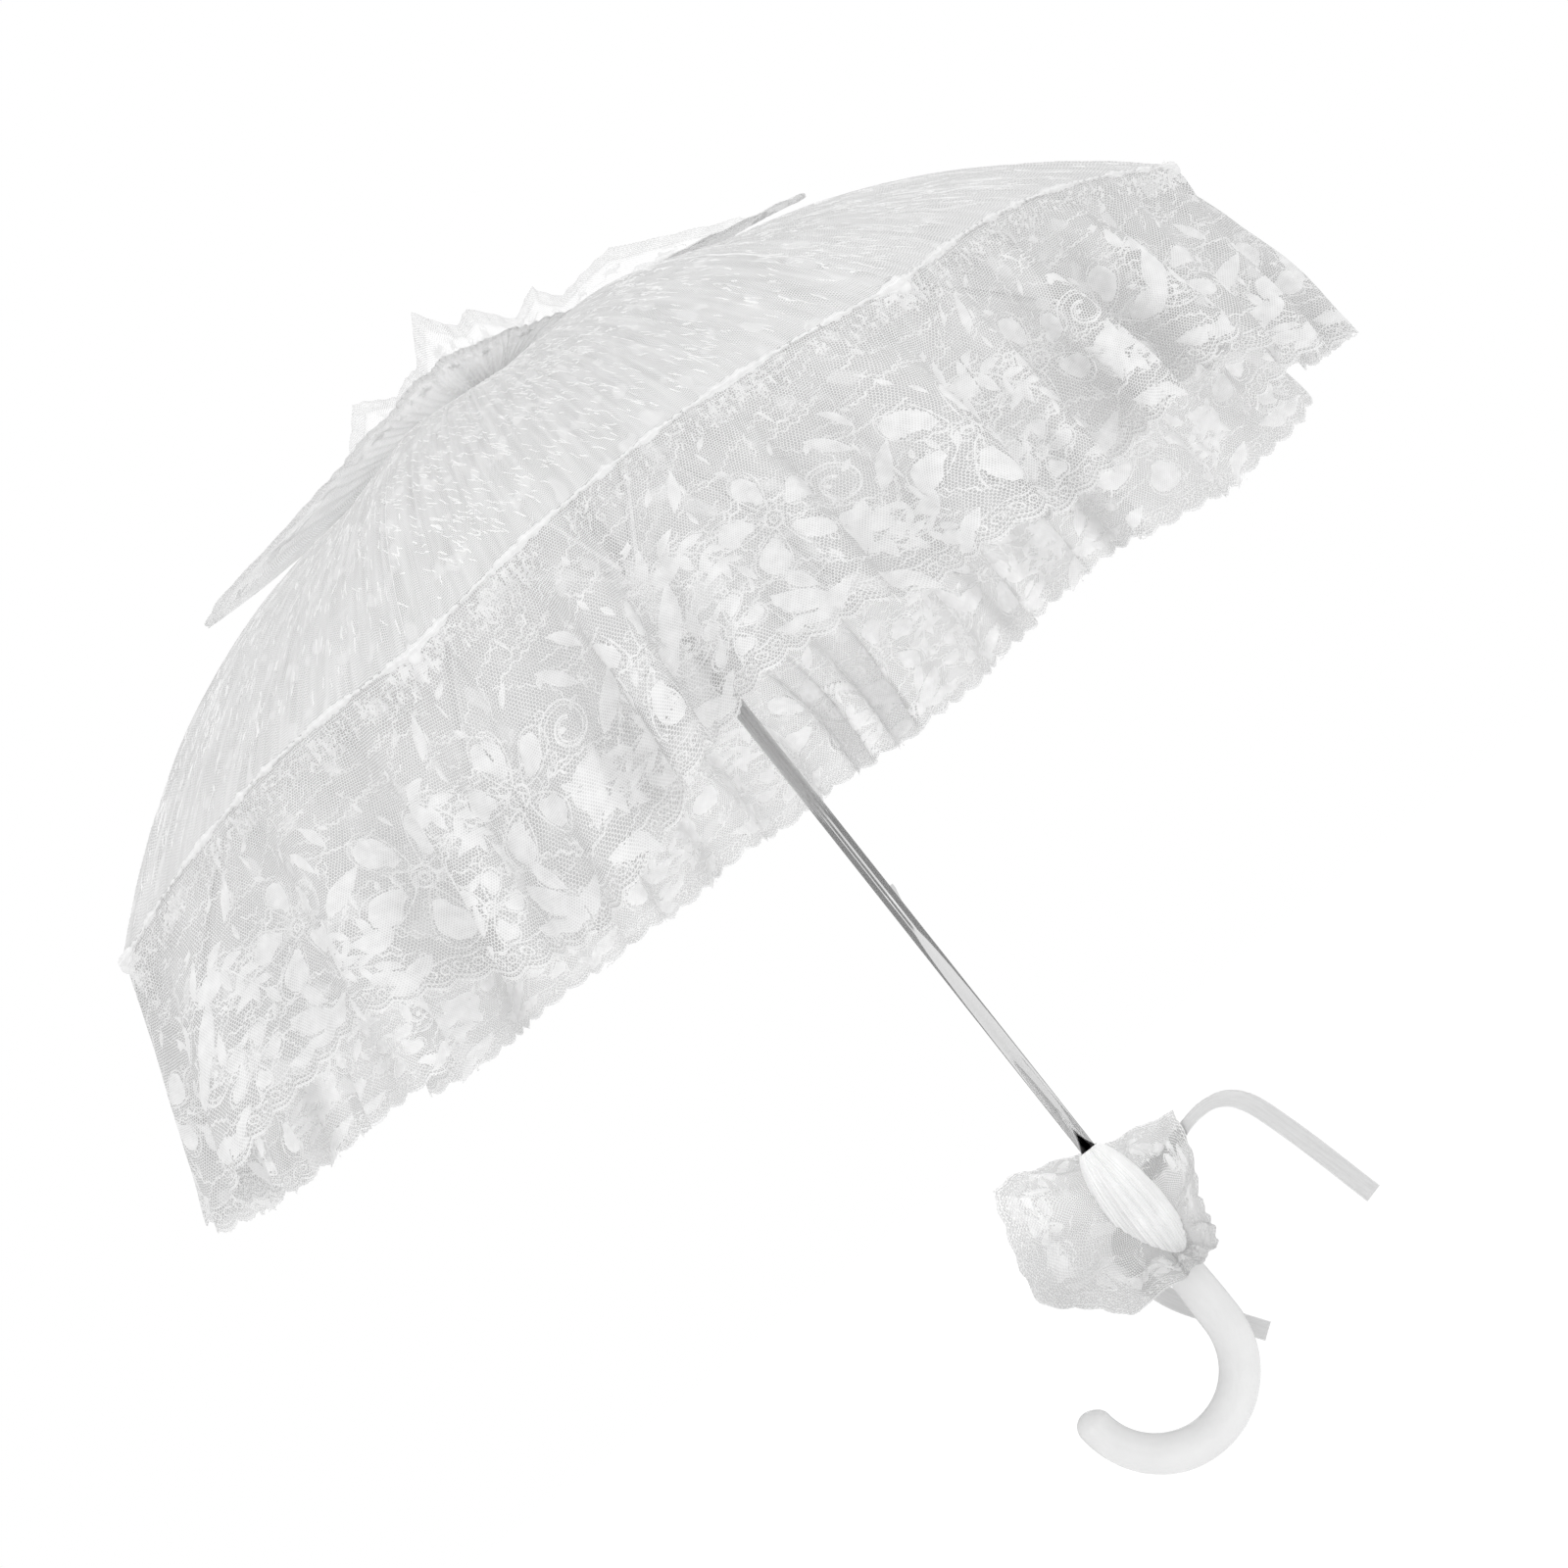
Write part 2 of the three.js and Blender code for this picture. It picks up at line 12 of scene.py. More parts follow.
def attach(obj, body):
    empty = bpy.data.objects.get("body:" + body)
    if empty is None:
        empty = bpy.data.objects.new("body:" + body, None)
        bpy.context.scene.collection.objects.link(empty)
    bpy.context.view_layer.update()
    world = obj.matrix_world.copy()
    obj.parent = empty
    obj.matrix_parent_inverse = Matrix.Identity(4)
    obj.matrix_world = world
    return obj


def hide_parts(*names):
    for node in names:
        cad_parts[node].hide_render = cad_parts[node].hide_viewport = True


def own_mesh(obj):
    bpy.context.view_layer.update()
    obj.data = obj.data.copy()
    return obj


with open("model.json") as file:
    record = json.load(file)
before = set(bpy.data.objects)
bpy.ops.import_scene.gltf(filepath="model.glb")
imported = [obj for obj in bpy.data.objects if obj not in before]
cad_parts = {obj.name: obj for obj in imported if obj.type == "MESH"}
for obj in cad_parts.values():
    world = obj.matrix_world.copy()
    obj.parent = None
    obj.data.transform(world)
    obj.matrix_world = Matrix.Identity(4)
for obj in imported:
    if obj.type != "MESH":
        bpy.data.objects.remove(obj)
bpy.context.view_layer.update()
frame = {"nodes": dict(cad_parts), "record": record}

# Driving dimensions, in metres
RIBS = 8
FIRST_RIB = math.radians(29.2)
STEP = 2 * math.pi / RIBS
HALF = STEP / 2
RIM_Z = 0.430
RIM_RADIUS = 0.340
DOME_RISE = 0.136
DOME_POWER = 2.6
SEAM_ARCH = 0.013

SCALLOP = 0.01315
REPEAT = 0.1972
REPEATS = 14
CLOTH_PER_PANEL = REPEATS * REPEAT / RIBS
RUFFLE_WIDTH = 0.135
TIP_RADIUS = 0.3405
HEM_BELOW_RIBS = [0.118, 0.102, 0.098, 0.106, 0.127, 0.137, 0.116, 0.114]
HEM_AT_MIDDLE = 0.096
NET_PITCH = 0.0015

CANOPY_CLOTH_RADIUS = 0.5


def rib_azimuth(k):
    return FIRST_RIB + k * STEP


def smooth(x, low=0.0, high=1.0):
    t = np.clip((x - low) / (high - low), 0, 1)
    return t * t * (3 - 2 * t)


# Meshes

def build(name, points, faces, material, uv=None, shade_smooth=True):
    mesh = bpy.data.meshes.new(name)
    mesh.from_pydata(np.asarray(points).tolist(), [], np.asarray(faces).tolist())
    mesh.polygons.foreach_set("use_smooth", [shade_smooth] * len(mesh.polygons))
    if uv is not None:
        index = np.empty(len(mesh.loops), np.int32)
        mesh.loops.foreach_get("vertex_index", index)
        layer = mesh.uv_layers.new(name="cloth")
        layer.data.foreach_set("uv", np.asarray(uv, np.float32)[index].ravel())
    mesh.materials.append(material)
    mesh.update()
    piece = bpy.data.objects.new(name, mesh)
    bpy.context.scene.collection.objects.link(piece)
    return piece


def grid_faces(columns, rows, closed=False):
    i = np.arange(columns if closed else columns - 1)
    j = np.arange(rows - 1)
    i, j = np.meshgrid(i, j)
    i, j = i.ravel(), j.ravel()
    k = (i + 1) % columns
    return np.stack([j * columns + i, j * columns + k, (j + 1) * columns + k, (j + 1) * columns + i], 1)


def sheet_mesh(name, surface, us, vs, material):
    """A sheet over a surface of two cloth coordinates, which are also its texture coordinates."""
    u, v = (a.ravel() for a in np.meshgrid(us, vs))
    return build(name, surface(u, v), grid_faces(len(us), len(vs)), material, np.stack([u, v], 1))


def off_surface(surface, u, v, lift, small=4e-4):
    point = surface(u, v)
    along_u = surface(u + small, v) - surface(u - small, v)
    along_v = surface(u, v + small) - surface(u, v - small)
    normal = np.cross(along_v, along_u)
    normal /= np.linalg.norm(normal, axis=1)[:, None] + 1e-12
    return point + normal * lift[:, None]


def strip_arrays(strips):
    """Strips are (line, widths, height): each becomes a low ridge on both faces of the cloth."""
    stations, faces, start = [], [], 0
    for line, width, height in strips:
        line = np.asarray(line, float)
        count = len(line)
        width = np.broadcast_to(np.asarray(width, float), (count,))
        tangent = np.gradient(line, axis=0)
        tangent /= np.linalg.norm(tangent, axis=1)[:, None] + 1e-12
        side = np.stack([-tangent[:, 1], tangent[:, 0]], 1) * width[:, None] / 2
        columns = 2 if width.max() < 0.0026 else 6
        rise = np.minimum(height * 0.5, width * 0.4)
        across = np.linspace(1, -1, columns + 1)
        section = [(a, 1 - a ** 4) for a in across] + [(a, a ** 4 - 1) for a in across[-2:0:-1]]
        ring = np.stack([np.column_stack([line + side * a, rise * b]) for a, b in section], 1)
        stations.append(ring.reshape(-1, 3))
        faces.append(start + grid_faces(2 * columns, count, closed=True))
        if columns == 2:
            faces.append(start + np.array([[3, 2, 1, 0], [0, 1, 2, 3]]) + np.array([[0], [4 * count - 4]]))
        start += 2 * columns * count
    return np.concatenate(stations), np.concatenate(faces)


def motif_mesh(name, surface, strips, material):
    cloth, faces = strip_arrays(strips)
    points = off_surface(surface, cloth[:, 0], cloth[:, 1], cloth[:, 2])
    return build(name, points, faces, material, cloth[:, :2], shade_smooth=False)


def turned(name, profile, material, segments=40, place=Matrix.Identity(4)):
    """A form turned about its own Z from (radius, z) pairs, then placed."""
    angle = np.arange(segments) * 2 * math.pi / segments
    rows = [np.stack([r * np.cos(angle), r * np.sin(angle), np.full(segments, z)], 1) for r, z in profile]
    points = [place @ Vector(p) for p in np.concatenate(rows)]
    return build(name, [tuple(p) for p in points], grid_faces(segments, len(profile), closed=True), material)


# Surfaces: each takes cloth coordinates in metres and gives points in the row frame

def off_dome(radius, distance):
    slope = -DOME_RISE * DOME_POWER / RIM_RADIUS * (radius / RIM_RADIUS) ** (DOME_POWER - 1)
    z = RIM_Z + DOME_RISE * (1 - (radius / RIM_RADIUS) ** DOME_POWER)
    length = np.hypot(1, slope)
    return radius - distance * slope / length, z + distance / length


def rib_share(azimuth):
    """0 on a rib and 1 halfway to the next."""
    turn = (azimuth - FIRST_RIB) / STEP
    return 2 * np.abs(turn - np.round(turn))


def pleats(azimuth, radius):
    drift = 0.9 * np.sin(9 * azimuth + 16 * radius) + 0.7 * np.sin(21 * azimuth - 25 * radius + 1)
    fine = np.sin(296 * azimuth + 1.7 * drift)
    finer = np.sin(431 * azimuth - 1.9 * drift + 2 * np.sin(14 * azimuth))
    return 0.55 * fine + 0.45 * finer


def canopy(u, v):
    """u is the azimuth times a fixed radius, and v runs from the notch out to the seam."""
    azimuth = u / CANOPY_CLOTH_RADIUS
    share = rib_share(azimuth)
    radius = np.abs(v)
    depth = (0.0002 + 0.0006 * smooth(radius, 0.02, 0.30)) * (1 - 0.5 * smooth(radius, 0.325, 0.34))
    sag = 0.0040 * share * np.sin(np.clip(radius / RIM_RADIUS, 0, 1) * math.pi)
    x, z = off_dome(radius, 0.0024 + depth * (0.4 + pleats(azimuth, radius)) - sag)
    chord = math.cos(HALF) / np.cos(HALF * (1 - share))
    across = x * chord
    z = z + SEAM_ARCH * (2 * share - share ** 2) * (radius / RIM_RADIUS) ** 4
    return np.stack([across * np.cos(azimuth), across * np.sin(azimuth), z], 1)


def canopy_from_above(x, y):
    return canopy(np.arctan2(y, x) * CANOPY_CLOTH_RADIUS, np.hypot(x, y))


def make_folds(seed):
    """Running place along the chords, and sideways offset, of one long strip gathered to its seam."""
    rng = random.Random(seed)
    panel, place, offset = [], [], []
    for k in range(RIBS):
        lengths = [rng.uniform(0.5, 1.5) for _ in range(rng.choice([3, 4, 4, 5]))]
        run, x, y, xs, ys, runs = 0.0, 0.0, 0.0, [], [], []
        for length in lengths:
            length *= CLOTH_PER_PANEL / sum(lengths)
            swing = rng.uniform(0.8, 1.75)
            for i in range(100):
                angle = swing * math.sin(2 * math.pi * (i + 0.5) / 100)
                xs.append(x)
                ys.append(y)
                runs.append(run)
                x += math.cos(angle) * length / 100
                y += math.sin(angle) * length / 100
                run += length / 100
        panel += [k + r / CLOTH_PER_PANEL for r in runs]
        place += [k + value / x for value in xs]
        offset += ys
    return np.array(panel + [RIBS]), np.array(place + [RIBS]), np.array(offset + [0.0])


FOLDS = make_folds(11)


def ruffle(u, v):
    """u runs along the strip from the first rib tip, and v from the seam down to the hem."""
    panel = np.mod(u / CLOTH_PER_PANEL, RIBS)
    down = np.clip(v / RUFFLE_WIDTH, -0.05, 1.03)
    loose = 1 - (1 - np.clip(down, 0, 1)) ** 2
    place = (1 - loose) * panel + loose * np.interp(panel, FOLDS[0], FOLDS[1])
    share = place - np.floor(place)
    sideways = loose * (np.interp(panel, FOLDS[0], FOLDS[2]) - 0.010)
    near_seam = np.clip(down / 0.07, 0, None)
    pucker = 0.0010 * near_seam * np.exp(1 - near_seam)
    sideways += pucker * np.sin(u * 760 + 1.5 * np.sin(u * 130) + 9 * down)
    sideways += 0.0009 * np.sin(u * 310 + 2 * np.sin(u * 57) + 11 * down) * loose * (1 - 0.4 * down)
    azimuth = FIRST_RIB + place * STEP
    turn = HALF * (2 * share - 1)
    chord = (math.cos(HALF) / np.cos(turn)) ** (1 - 0.45 * np.clip(down, 0, 1))
    radius = TIP_RADIUS * chord + 0.012 * down + sideways
    full = np.cos(math.pi * share) ** 2
    top = 0.002 + SEAM_ARCH * 4 * share * (1 - share)
    at_rib = np.interp(place, np.arange(RIBS + 1), HEM_BELOW_RIBS + HEM_BELOW_RIBS[:1])
    hem = -HEM_AT_MIDDLE - (at_rib - HEM_AT_MIDDLE) * full
    edge = 0.0030 * np.abs(np.sin(math.pi * u / SCALLOP)) - 0.0020
    z = RIM_Z + top + (hem - top) * down - edge * smooth(down, 0.82, 1.0)
    x = radius * np.cos(azimuth) - 0.008 * np.clip(down, 0, 1) ** 2
    return np.stack([x, radius * np.sin(azimuth), z], 1)


# The frill's rim is a long oval, low at its two ends and standing up on its far side
FRILL_HALF_LENGTH = 0.190
FRILL_FAR_WIDTH = 0.072
FRILL_NEAR_WIDTH = 0.046
FRILL_LOW = 0.134
FRILL_TILT = 0.009
FRILL_FAR_STAND = 0.068
FRILL_NEAR_STAND = 0.030
# The points that its lace border folds into: azimuth and half width in degrees, reach and rise in metres
FRILL_POINTS = [(20, 16, 0.026, 0.006), (36, 18, 0.014, 0.024), (56, 7, 0.012, 0.016), (76, 11, 0.0, 0.012),
                (95, 12, 0.0, 0.026), (132, 12, 0.0, 0.018)]
FRILL_CLOTH = 0.13
FRILL_CLOTH_LENGTH = 0.19
FRILL_TOP = 0.148
FERRULE_CLEARANCE = 0.0085


def frill_rim(azimuth):
    """The rim's reach from the shaft and its height above the rib tips."""
    side = np.sin(azimuth)
    width = np.where(side > 0, FRILL_FAR_WIDTH, FRILL_NEAR_WIDTH)
    reach = 1 / np.hypot(np.cos(azimuth) / FRILL_HALF_LENGTH, side / width)
    height = FRILL_LOW - FRILL_TILT * np.cos(azimuth)
    height = height + FRILL_FAR_STAND * np.maximum(side, 0) ** 1.2
    height = height + FRILL_NEAR_STAND * np.maximum(-side, 0)
    degrees = np.degrees(np.mod(azimuth, 2 * math.pi))
    for place, half_width, push, rise in FRILL_POINTS:
        share = np.clip(1 - np.abs(degrees - place) / half_width, 0, 1)
        reach = reach + push * share
        height = height + rise * share
    return reach, height


def frill(u, v):
    """u is the azimuth times a fixed radius, and v runs from the ferrule out to the edge."""
    azimuth = u / FRILL_CLOTH
    out = v / FRILL_CLOTH_LENGTH
    reach, height = frill_rim(azimuth)
    fold = np.sin(11 * azimuth + 1.6 * np.sin(3 * azimuth)) + 0.5 * np.sin(25 * azimuth + 2)
    radius = FERRULE_CLEARANCE + (reach - FERRULE_CLEARANCE) * np.abs(out) ** 0.65
    on_canopy = FRILL_TOP - DOME_RISE * (radius / RIM_RADIUS) ** DOME_POWER
    at_edge = FRILL_TOP - DOME_RISE * (reach / RIM_RADIUS) ** DOME_POWER
    z = RIM_Z + on_canopy + (height - at_edge) * np.abs(out) ** 2.3
    loose = smooth(out, 0.05, 0.6) * (1.25 - out)
    z = z + 0.0030 * fold * loose * out
    radius = radius + 0.0030 * np.sin(17 * azimuth + 1) * loose
    z = z + 0.0007 * np.sin(88 * azimuth + 3 * np.sin(7 * azimuth)) * smooth(out, 0, 0.2) * (1 - 0.7 * out)
    radius = radius + 0.0020 * np.abs(np.sin(azimuth * 46)) * smooth(out, 0.9, 1.0)
    return np.stack([radius * np.cos(azimuth), radius * np.sin(azimuth), z], 1)


# The cuff's edge at its lobes and nips: azimuth in degrees, reach and height in millimetres
CUFF_EDGE = [(0, 28, 36), (30, 52, 74), (80, 42, 82), (150, 46, 100), (170, 50, 98), (205, 70, 45),
             (235, 56, 16), (270, 25, 12), (330, 24, 14), (360, 28, 36)]
# The cuff is gathered along a line that slants round the handle
NECK_MIDDLE = 0.051
NECK_SLANT = 0.030
NECK_HIGH_SIDE = math.radians(120)
SLEEVE_Z = [14, 18, 24, 36, 50, 64, 74, 80, 84, 87]
SLEEVE_RADIUS = [9.9, 10.6, 12.2, 14.2, 14.6, 13.2, 11.2, 9.4, 7.6, 5.2]
CUFF_CLOTH = 0.045
CUFF_LENGTH = 0.060
SLEEVE_CLOTH = 0.024
SLEEVE_TOP_Z = 0.087


def around_handle(z):
    return np.interp(z, np.array(SLEEVE_Z) / 1000, np.array(SLEEVE_RADIUS) / 1000)


def cuff(u, v):
    """u is the azimuth times a fixed radius, and v runs from the gathered neck out to the edge."""
    azimuth = u / CUFF_CLOTH
    degrees = np.degrees(np.mod(azimuth, 2 * math.pi))
    run = v / CUFF_LENGTH
    places, reaches, heights = zip(*CUFF_EDGE)
    reach = np.interp(degrees, places, reaches) / 1000
    edge_z = np.interp(degrees, places, heights) / 1000
    neck_z = NECK_MIDDLE + NECK_SLANT * np.cos(azimuth - NECK_HIGH_SIDE)
    neck = around_handle(neck_z) + 0.0002
    out = np.clip(run, -0.05, 1.05)
    loose = smooth(out, 0.05, 0.6) * (1.2 - out)
    radius = neck + (reach - neck) * (0.55 * out + 0.45 * np.sin(np.clip(out, 0, 1) * math.pi / 2))
    z = neck_z + (edge_z - neck_z) * (0.7 * out + 0.3 * out * np.abs(out))
    fold = np.sin(9 * azimuth + 1.2 * np.sin(2 * azimuth)) + 0.5 * np.sin(17 * azimuth + 2)
    radius = radius + 0.0024 * fold * loose
    z = z + 0.0036 * np.sin(13 * azimuth + 1) * loose
    radius = radius + 0.0005 * np.sin(64 * azimuth + 3 * np.sin(9 * azimuth)) * (1 - 0.6 * out)
    radius = np.maximum(radius, around_handle(z) + 0.0006 * smooth(out, 0, 0.1))
    edge = 0.0016 * np.abs(np.sin(azimuth * 20)) * smooth(run, 0.9, 1.0)
    return np.stack([(radius + edge) * np.cos(azimuth), (radius + edge) * np.sin(azimuth), z], 1)


def sleeve(u, v):
    """The cuff's plain tulle, gathered over the top of the handle; v runs down from the shaft."""
    azimuth = u / SLEEVE_CLOTH
    z = SLEEVE_TOP_Z - v + 0.0012 * np.sin(3 * azimuth + 1) * smooth(v, 0.05, 0.073)
    middle = smooth(v, 0, 0.02) * (1 - 0.6 * smooth(v, 0.045, 0.073))
    gathers = np.sin(38 * azimuth + 2 * np.sin(5 * azimuth)) + 0.7 * np.sin(61 * azimuth + 30 * v)
    radius = around_handle(z) + 0.00030 * gathers + 0.0006 * np.sin(7 * azimuth + 40 * v) * middle
    return np.stack([radius * np.cos(azimuth), radius * np.sin(azimuth), z], 1)


# Lace drawing: strips in cloth coordinates, drawn in millimetres

def curve_through(points, spacing=1.7):
    """A smooth line through points, with stations about evenly spaced."""
    p = np.asarray(points, float)
    p = np.vstack([2 * p[0] - p[1], p, 2 * p[-1] - p[-2]])
    line = []
    for a, b, c, d in zip(p, p[1:], p[2:], p[3:]):
        count = max(2, int(np.linalg.norm(c - b) / spacing))
        t = (np.arange(count) / count)[:, None]
        line.append(0.5 * (2 * b + (c - a) * t + (2 * a - 5 * b + 4 * c - d) * t ** 2
                           + (3 * b - a - 3 * c + d) * t ** 3))
    return np.vstack([*line, p[-2][None]])


def wavy(rng, start, heading, length, width, wander=0.35, spacing=1.5):
    """A fine thread that wanders and wriggles as it goes."""
    point, line = np.array(start, float), [np.array(start, float)]
    period = rng.uniform(4.5, 8.0)
    for k in range(max(3, int(length / spacing))):
        heading += rng.uniform(-wander, wander) * 0.5
        turn = heading + 0.75 * math.sin(2 * math.pi * k * spacing / period)
        point = point + spacing * np.array([math.cos(turn), math.sin(turn)])
        line.append(point)
    return [(np.array(line), width, 0.3)]


def ring(x, y, rx, ry, width, turn=0.0, count=9):
    t = np.linspace(0, 2 * math.pi, count + 1)
    c, s = math.cos(turn), math.sin(turn)
    a, b = rx * np.cos(t), ry * np.sin(t)
    return [(np.stack([x + a * c - b * s, y + a * s + b * c], 1), width, 0.35)]


def leaf(x, y, heading, length, width, bend=0.3, count=7):
    """A solid leaf in clothwork, pointed at both ends."""
    t = np.linspace(0, 1, count)
    angle = heading + bend * t
    step = length / (count - 1)
    px = x + np.concatenate([[0], np.cumsum(np.cos(angle[:-1]))]) * step
    py = y + np.concatenate([[0], np.cumsum(np.sin(angle[:-1]))]) * step
    return [(np.stack([px, py], 1), np.maximum(0.25, width * np.sin(math.pi * t ** 0.85)), 0.4)]


def petal(x, y, heading, length, width):
    """A broad petal in clothwork, with open net round it inside a fine outline, and veins."""
    t = np.linspace(0, 1, 19)
    along = length * (0.5 - 0.5 * np.cos(2 * math.pi * t))
    aside = width / 2 * np.sin(2 * math.pi * t) * (0.4 + 0.75 * along / length)
    c, s = math.cos(heading), math.sin(heading)

    def placed(a, b):
        return np.stack([x + a * c - b * s, y + a * s + b * c], 1)

    strips = [(placed(along, aside), 0.8, 0.4)]
    run = np.linspace(0, 1, 11)
    broad = 0.74 * width * np.sin(math.pi * (0.06 + 0.88 * run ** 1.5)) ** 0.7
    strips.append((placed(length * (0.2 + 0.68 * run), 0.03 * length * np.sin(6 * run)), broad, 0.3))
    for lean in (-0.25, 0.0, 0.25):
        vein = np.linspace(0.1, 0.8, 7)
        strips.append((placed(length * vein, length * vein ** 1.5 * lean), 0.5, 0.7))
    return strips


def flower(x, y, radius, turn, petals=5):
    strips = []
    for k in range(petals):
        heading = turn + k * 2 * math.pi / petals
        base = 0.16 * radius
        strips += petal(x + base * math.cos(heading), y + base * math.sin(heading), heading,
                        0.84 * radius, 0.95 * radius * math.pi / petals)
    strips += ring(x, y, 0.17 * radius, 0.15 * radius, 1.3)
    strips += ring(x, y, 0.07 * radius, 0.07 * radius, 1.2, count=6)
    return strips


def spray(points, leaves, length, width):
    """A stem with leaves to either side and one at its end."""
    stem = curve_through(points)
    strips = [(stem, 0.95, 0.4)]
    for k in range(leaves):
        at = int((k + 0.6) * (len(stem) - 2) / leaves)
        dx, dy = stem[min(at + 1, len(stem) - 1)] - stem[at]
        heading = math.atan2(dy, dx)
        size = length * (1 - 0.45 * k / leaves)
        for side in (-1, 1):
            strips += leaf(*stem[at], heading + side * 0.85, size, width * size / length, -side * 0.5)
    dx, dy = stem[-1] - stem[-2]
    return strips + leaf(*stem[-1], math.atan2(dy, dx), length * 0.8, width * 0.8, 0.2)


def scroll(x, y, radius, start, turns, hand=1):
    """A scroll of two gimp lines laddered together, with a solid eye."""
    t = np.linspace(0, 1, int(26 * turns))
    angle = start + hand * 2 * math.pi * turns * t
    outer = radius * (1 - 0.68 * t)
    inner = outer - 2.3 * (1 - 0.5 * t)

    def spiral(rho):
        return np.stack([x + rho * np.cos(angle), y + rho * np.sin(angle)], 1)

    strips = [(spiral(outer), 1.2, 0.45), (spiral(inner), 0.7, 0.4)]
    for k in range(1, len(t) - 3, 2):
        bar = np.array([spiral(outer)[k], spiral(inner)[k]])
        strips.append((bar, 0.5, 0.25))
    return strips + leaf(x - 0.12 * radius, y, start, 0.3 * radius, 0.22 * radius, 0)


def hem_lines(length, depth, scallop):
    """Eyelets between gimp lines, along an edge at the given depth."""
    strips = []
    count = round(length / scallop)
    for k in range(count):
        xs = np.linspace(k, k + 1, 7) * scallop
        for down, width in ((0.9, 1.35), (3.3, 0.75), (12.6, 0.8)):
            dip = (0.8 if down > 10 else 0) * np.abs(np.sin(1.5 * math.pi * xs / scallop))
            strips.append((np.stack([xs, depth - down + dip], 1), width, 0.42))
        for picot in range(5):
            strips += ring((k + 0.1 + picot * 0.2) * scallop, depth - 0.1, 0.8, 0.7, 0.5, count=5)
    eyelets = round(length / 6.6)
    for k in range(eyelets):
        x = (k + 0.5) * length / eyelets
        strips += ring(x, depth - 7.9, 2.4, 1.8, 0.8, 0.5, 8)
        strips += ring(x + 3.1, depth - 5.4, 0.8, 0.8, 0.5, count=5)
    return strips


BIG_LEAVES = (
    (66, 116, 0.5, 30, 10), (34, 118, 2.5, 26, 9), (118, 122, 0.2, 26, 7), (160, 118, 2.7, 30, 10),
    (172, 120, 0.4, 28, 9), (96, 120, 2.6, 20, 7), (188, 44, 0.8, 22, 7), (112, 40, 5.4, 24, 7),
    (16, 52, 4.4, 20, 6), (84, 60, 0.3, 20, 6), (136, 96, 1.2, 20, 7), (6, 118, 0.4, 24, 8),
    (24, 104, 3.4, 18, 7), (92, 96, 4.4, 17, 6), (178, 100, 5.6, 22, 8), (120, 76, 3.0, 18, 6),
    (76, 92, 5.2, 34, 12), (126, 104, 0.9, 30, 11), (190, 82, 2.2, 32, 11), (0, 84, 5.6, 30, 10),
)


def ruffle_repeat(seed):
    """One repeat of the ruffle's pattern, 197.2 mm long and 135 mm deep."""
    rng = random.Random(seed)
    strips = hem_lines(197.2, 135, 13.147)
    strips += flower(48, 84, 36, 0.3, 5)
    strips += flower(148, 72, 31, 0.9, 5)
    strips += flower(104, 106, 17, 0.2, 5)
    strips += spray([(78, 60), (92, 52), (106, 60), (120, 82)], 5, 17, 6.5)
    strips += spray([(168, 88), (180, 94), (192, 108), (208, 114)], 5, 16, 6.0)
    strips += spray([(24, 112), (14, 100), (2, 98), (-10, 104)], 4, 14, 5.5)
    strips += scroll(84, 92, 14, 0.5, 1.3)
    strips += scroll(186, 70, 13, 3.5, 1.3)
    for x, y, heading, length, width in BIG_LEAVES:
        bend = rng.uniform(-0.7, 0.7)
        strips += leaf(x, y, heading, length, width, bend, 11)
        strips += wavy(rng, (x, y), heading + 0.4, length * 1.1, 0.7, 0.15)
        strips += wavy(rng, (x, y), heading - 0.4, length * 1.1, 0.7, 0.15)
    for row in range(16):
        heading = rng.uniform(-0.35, 0.35)
        for _ in range(4):
            start = (rng.uniform(0, 197), 9 + row * 6.8 + rng.uniform(-3, 3))
            strips += wavy(rng, start, heading, rng.uniform(26, 62), rng.uniform(0.6, 1.1), 0.3)
    for _ in range(44):
        start = (rng.uniform(0, 197), rng.uniform(14, 116))
        strips += wavy(rng, start, rng.uniform(0, 6.28), rng.uniform(10, 30), rng.uniform(0.5, 0.9), 0.45)
    for _ in range(34):
        x, y = rng.uniform(0, 197), rng.uniform(12, 112)
        strips += leaf(x, y, rng.uniform(0, 6.28), rng.uniform(5, 11), rng.uniform(1.8, 3.6))
    for _ in range(40):
        size = rng.uniform(1.0, 2.6)
        strips += ring(rng.uniform(0, 197), rng.uniform(12, 118), size, size * 0.8, 0.7, rng.uniform(0, 3), 7)
    return strips


def in_metres(strips, shift=(0.0, 0.0)):
    return [(np.asarray(line) / 1000 + shift, np.asarray(width) / 1000, height / 1000)
            for line, width, height in strips]


def seam_puckers(rng, start, end):
    """Crumpled loops of cloth drawn up just below the seam, thickest beside the rib tips."""
    strips = []
    for _ in range(24):
        middle = rng.uniform(start, end) * 1000
        for _ in range(rng.randint(4, 12)):
            x, y = middle + rng.gauss(0, 6), rng.uniform(1, 13)
            strips += wavy(rng, (x, y), rng.uniform(0.6, 2.5), rng.uniform(3, 7), rng.uniform(0.6, 1.4),
                           0.9, 1.1)
    tip = round((start + end) / 2 / CLOTH_PER_PANEL) * CLOTH_PER_PANEL
    tip = start if abs(start - tip) < abs(end - tip) else end
    for _ in range(26):
        x, y = tip * 1000 + rng.gauss(0, 7), rng.uniform(0, 9)
        strips += wavy(rng, (x, y), rng.uniform(0, 6.28), rng.uniform(4, 8), rng.uniform(1.2, 2.6), 0.8, 1.3)
    return in_metres(strips)


GRAIN_LEAN = [0.25, 0.2, 0.3, 0.2, 0.1, 0.85, 0.35, 0.3]


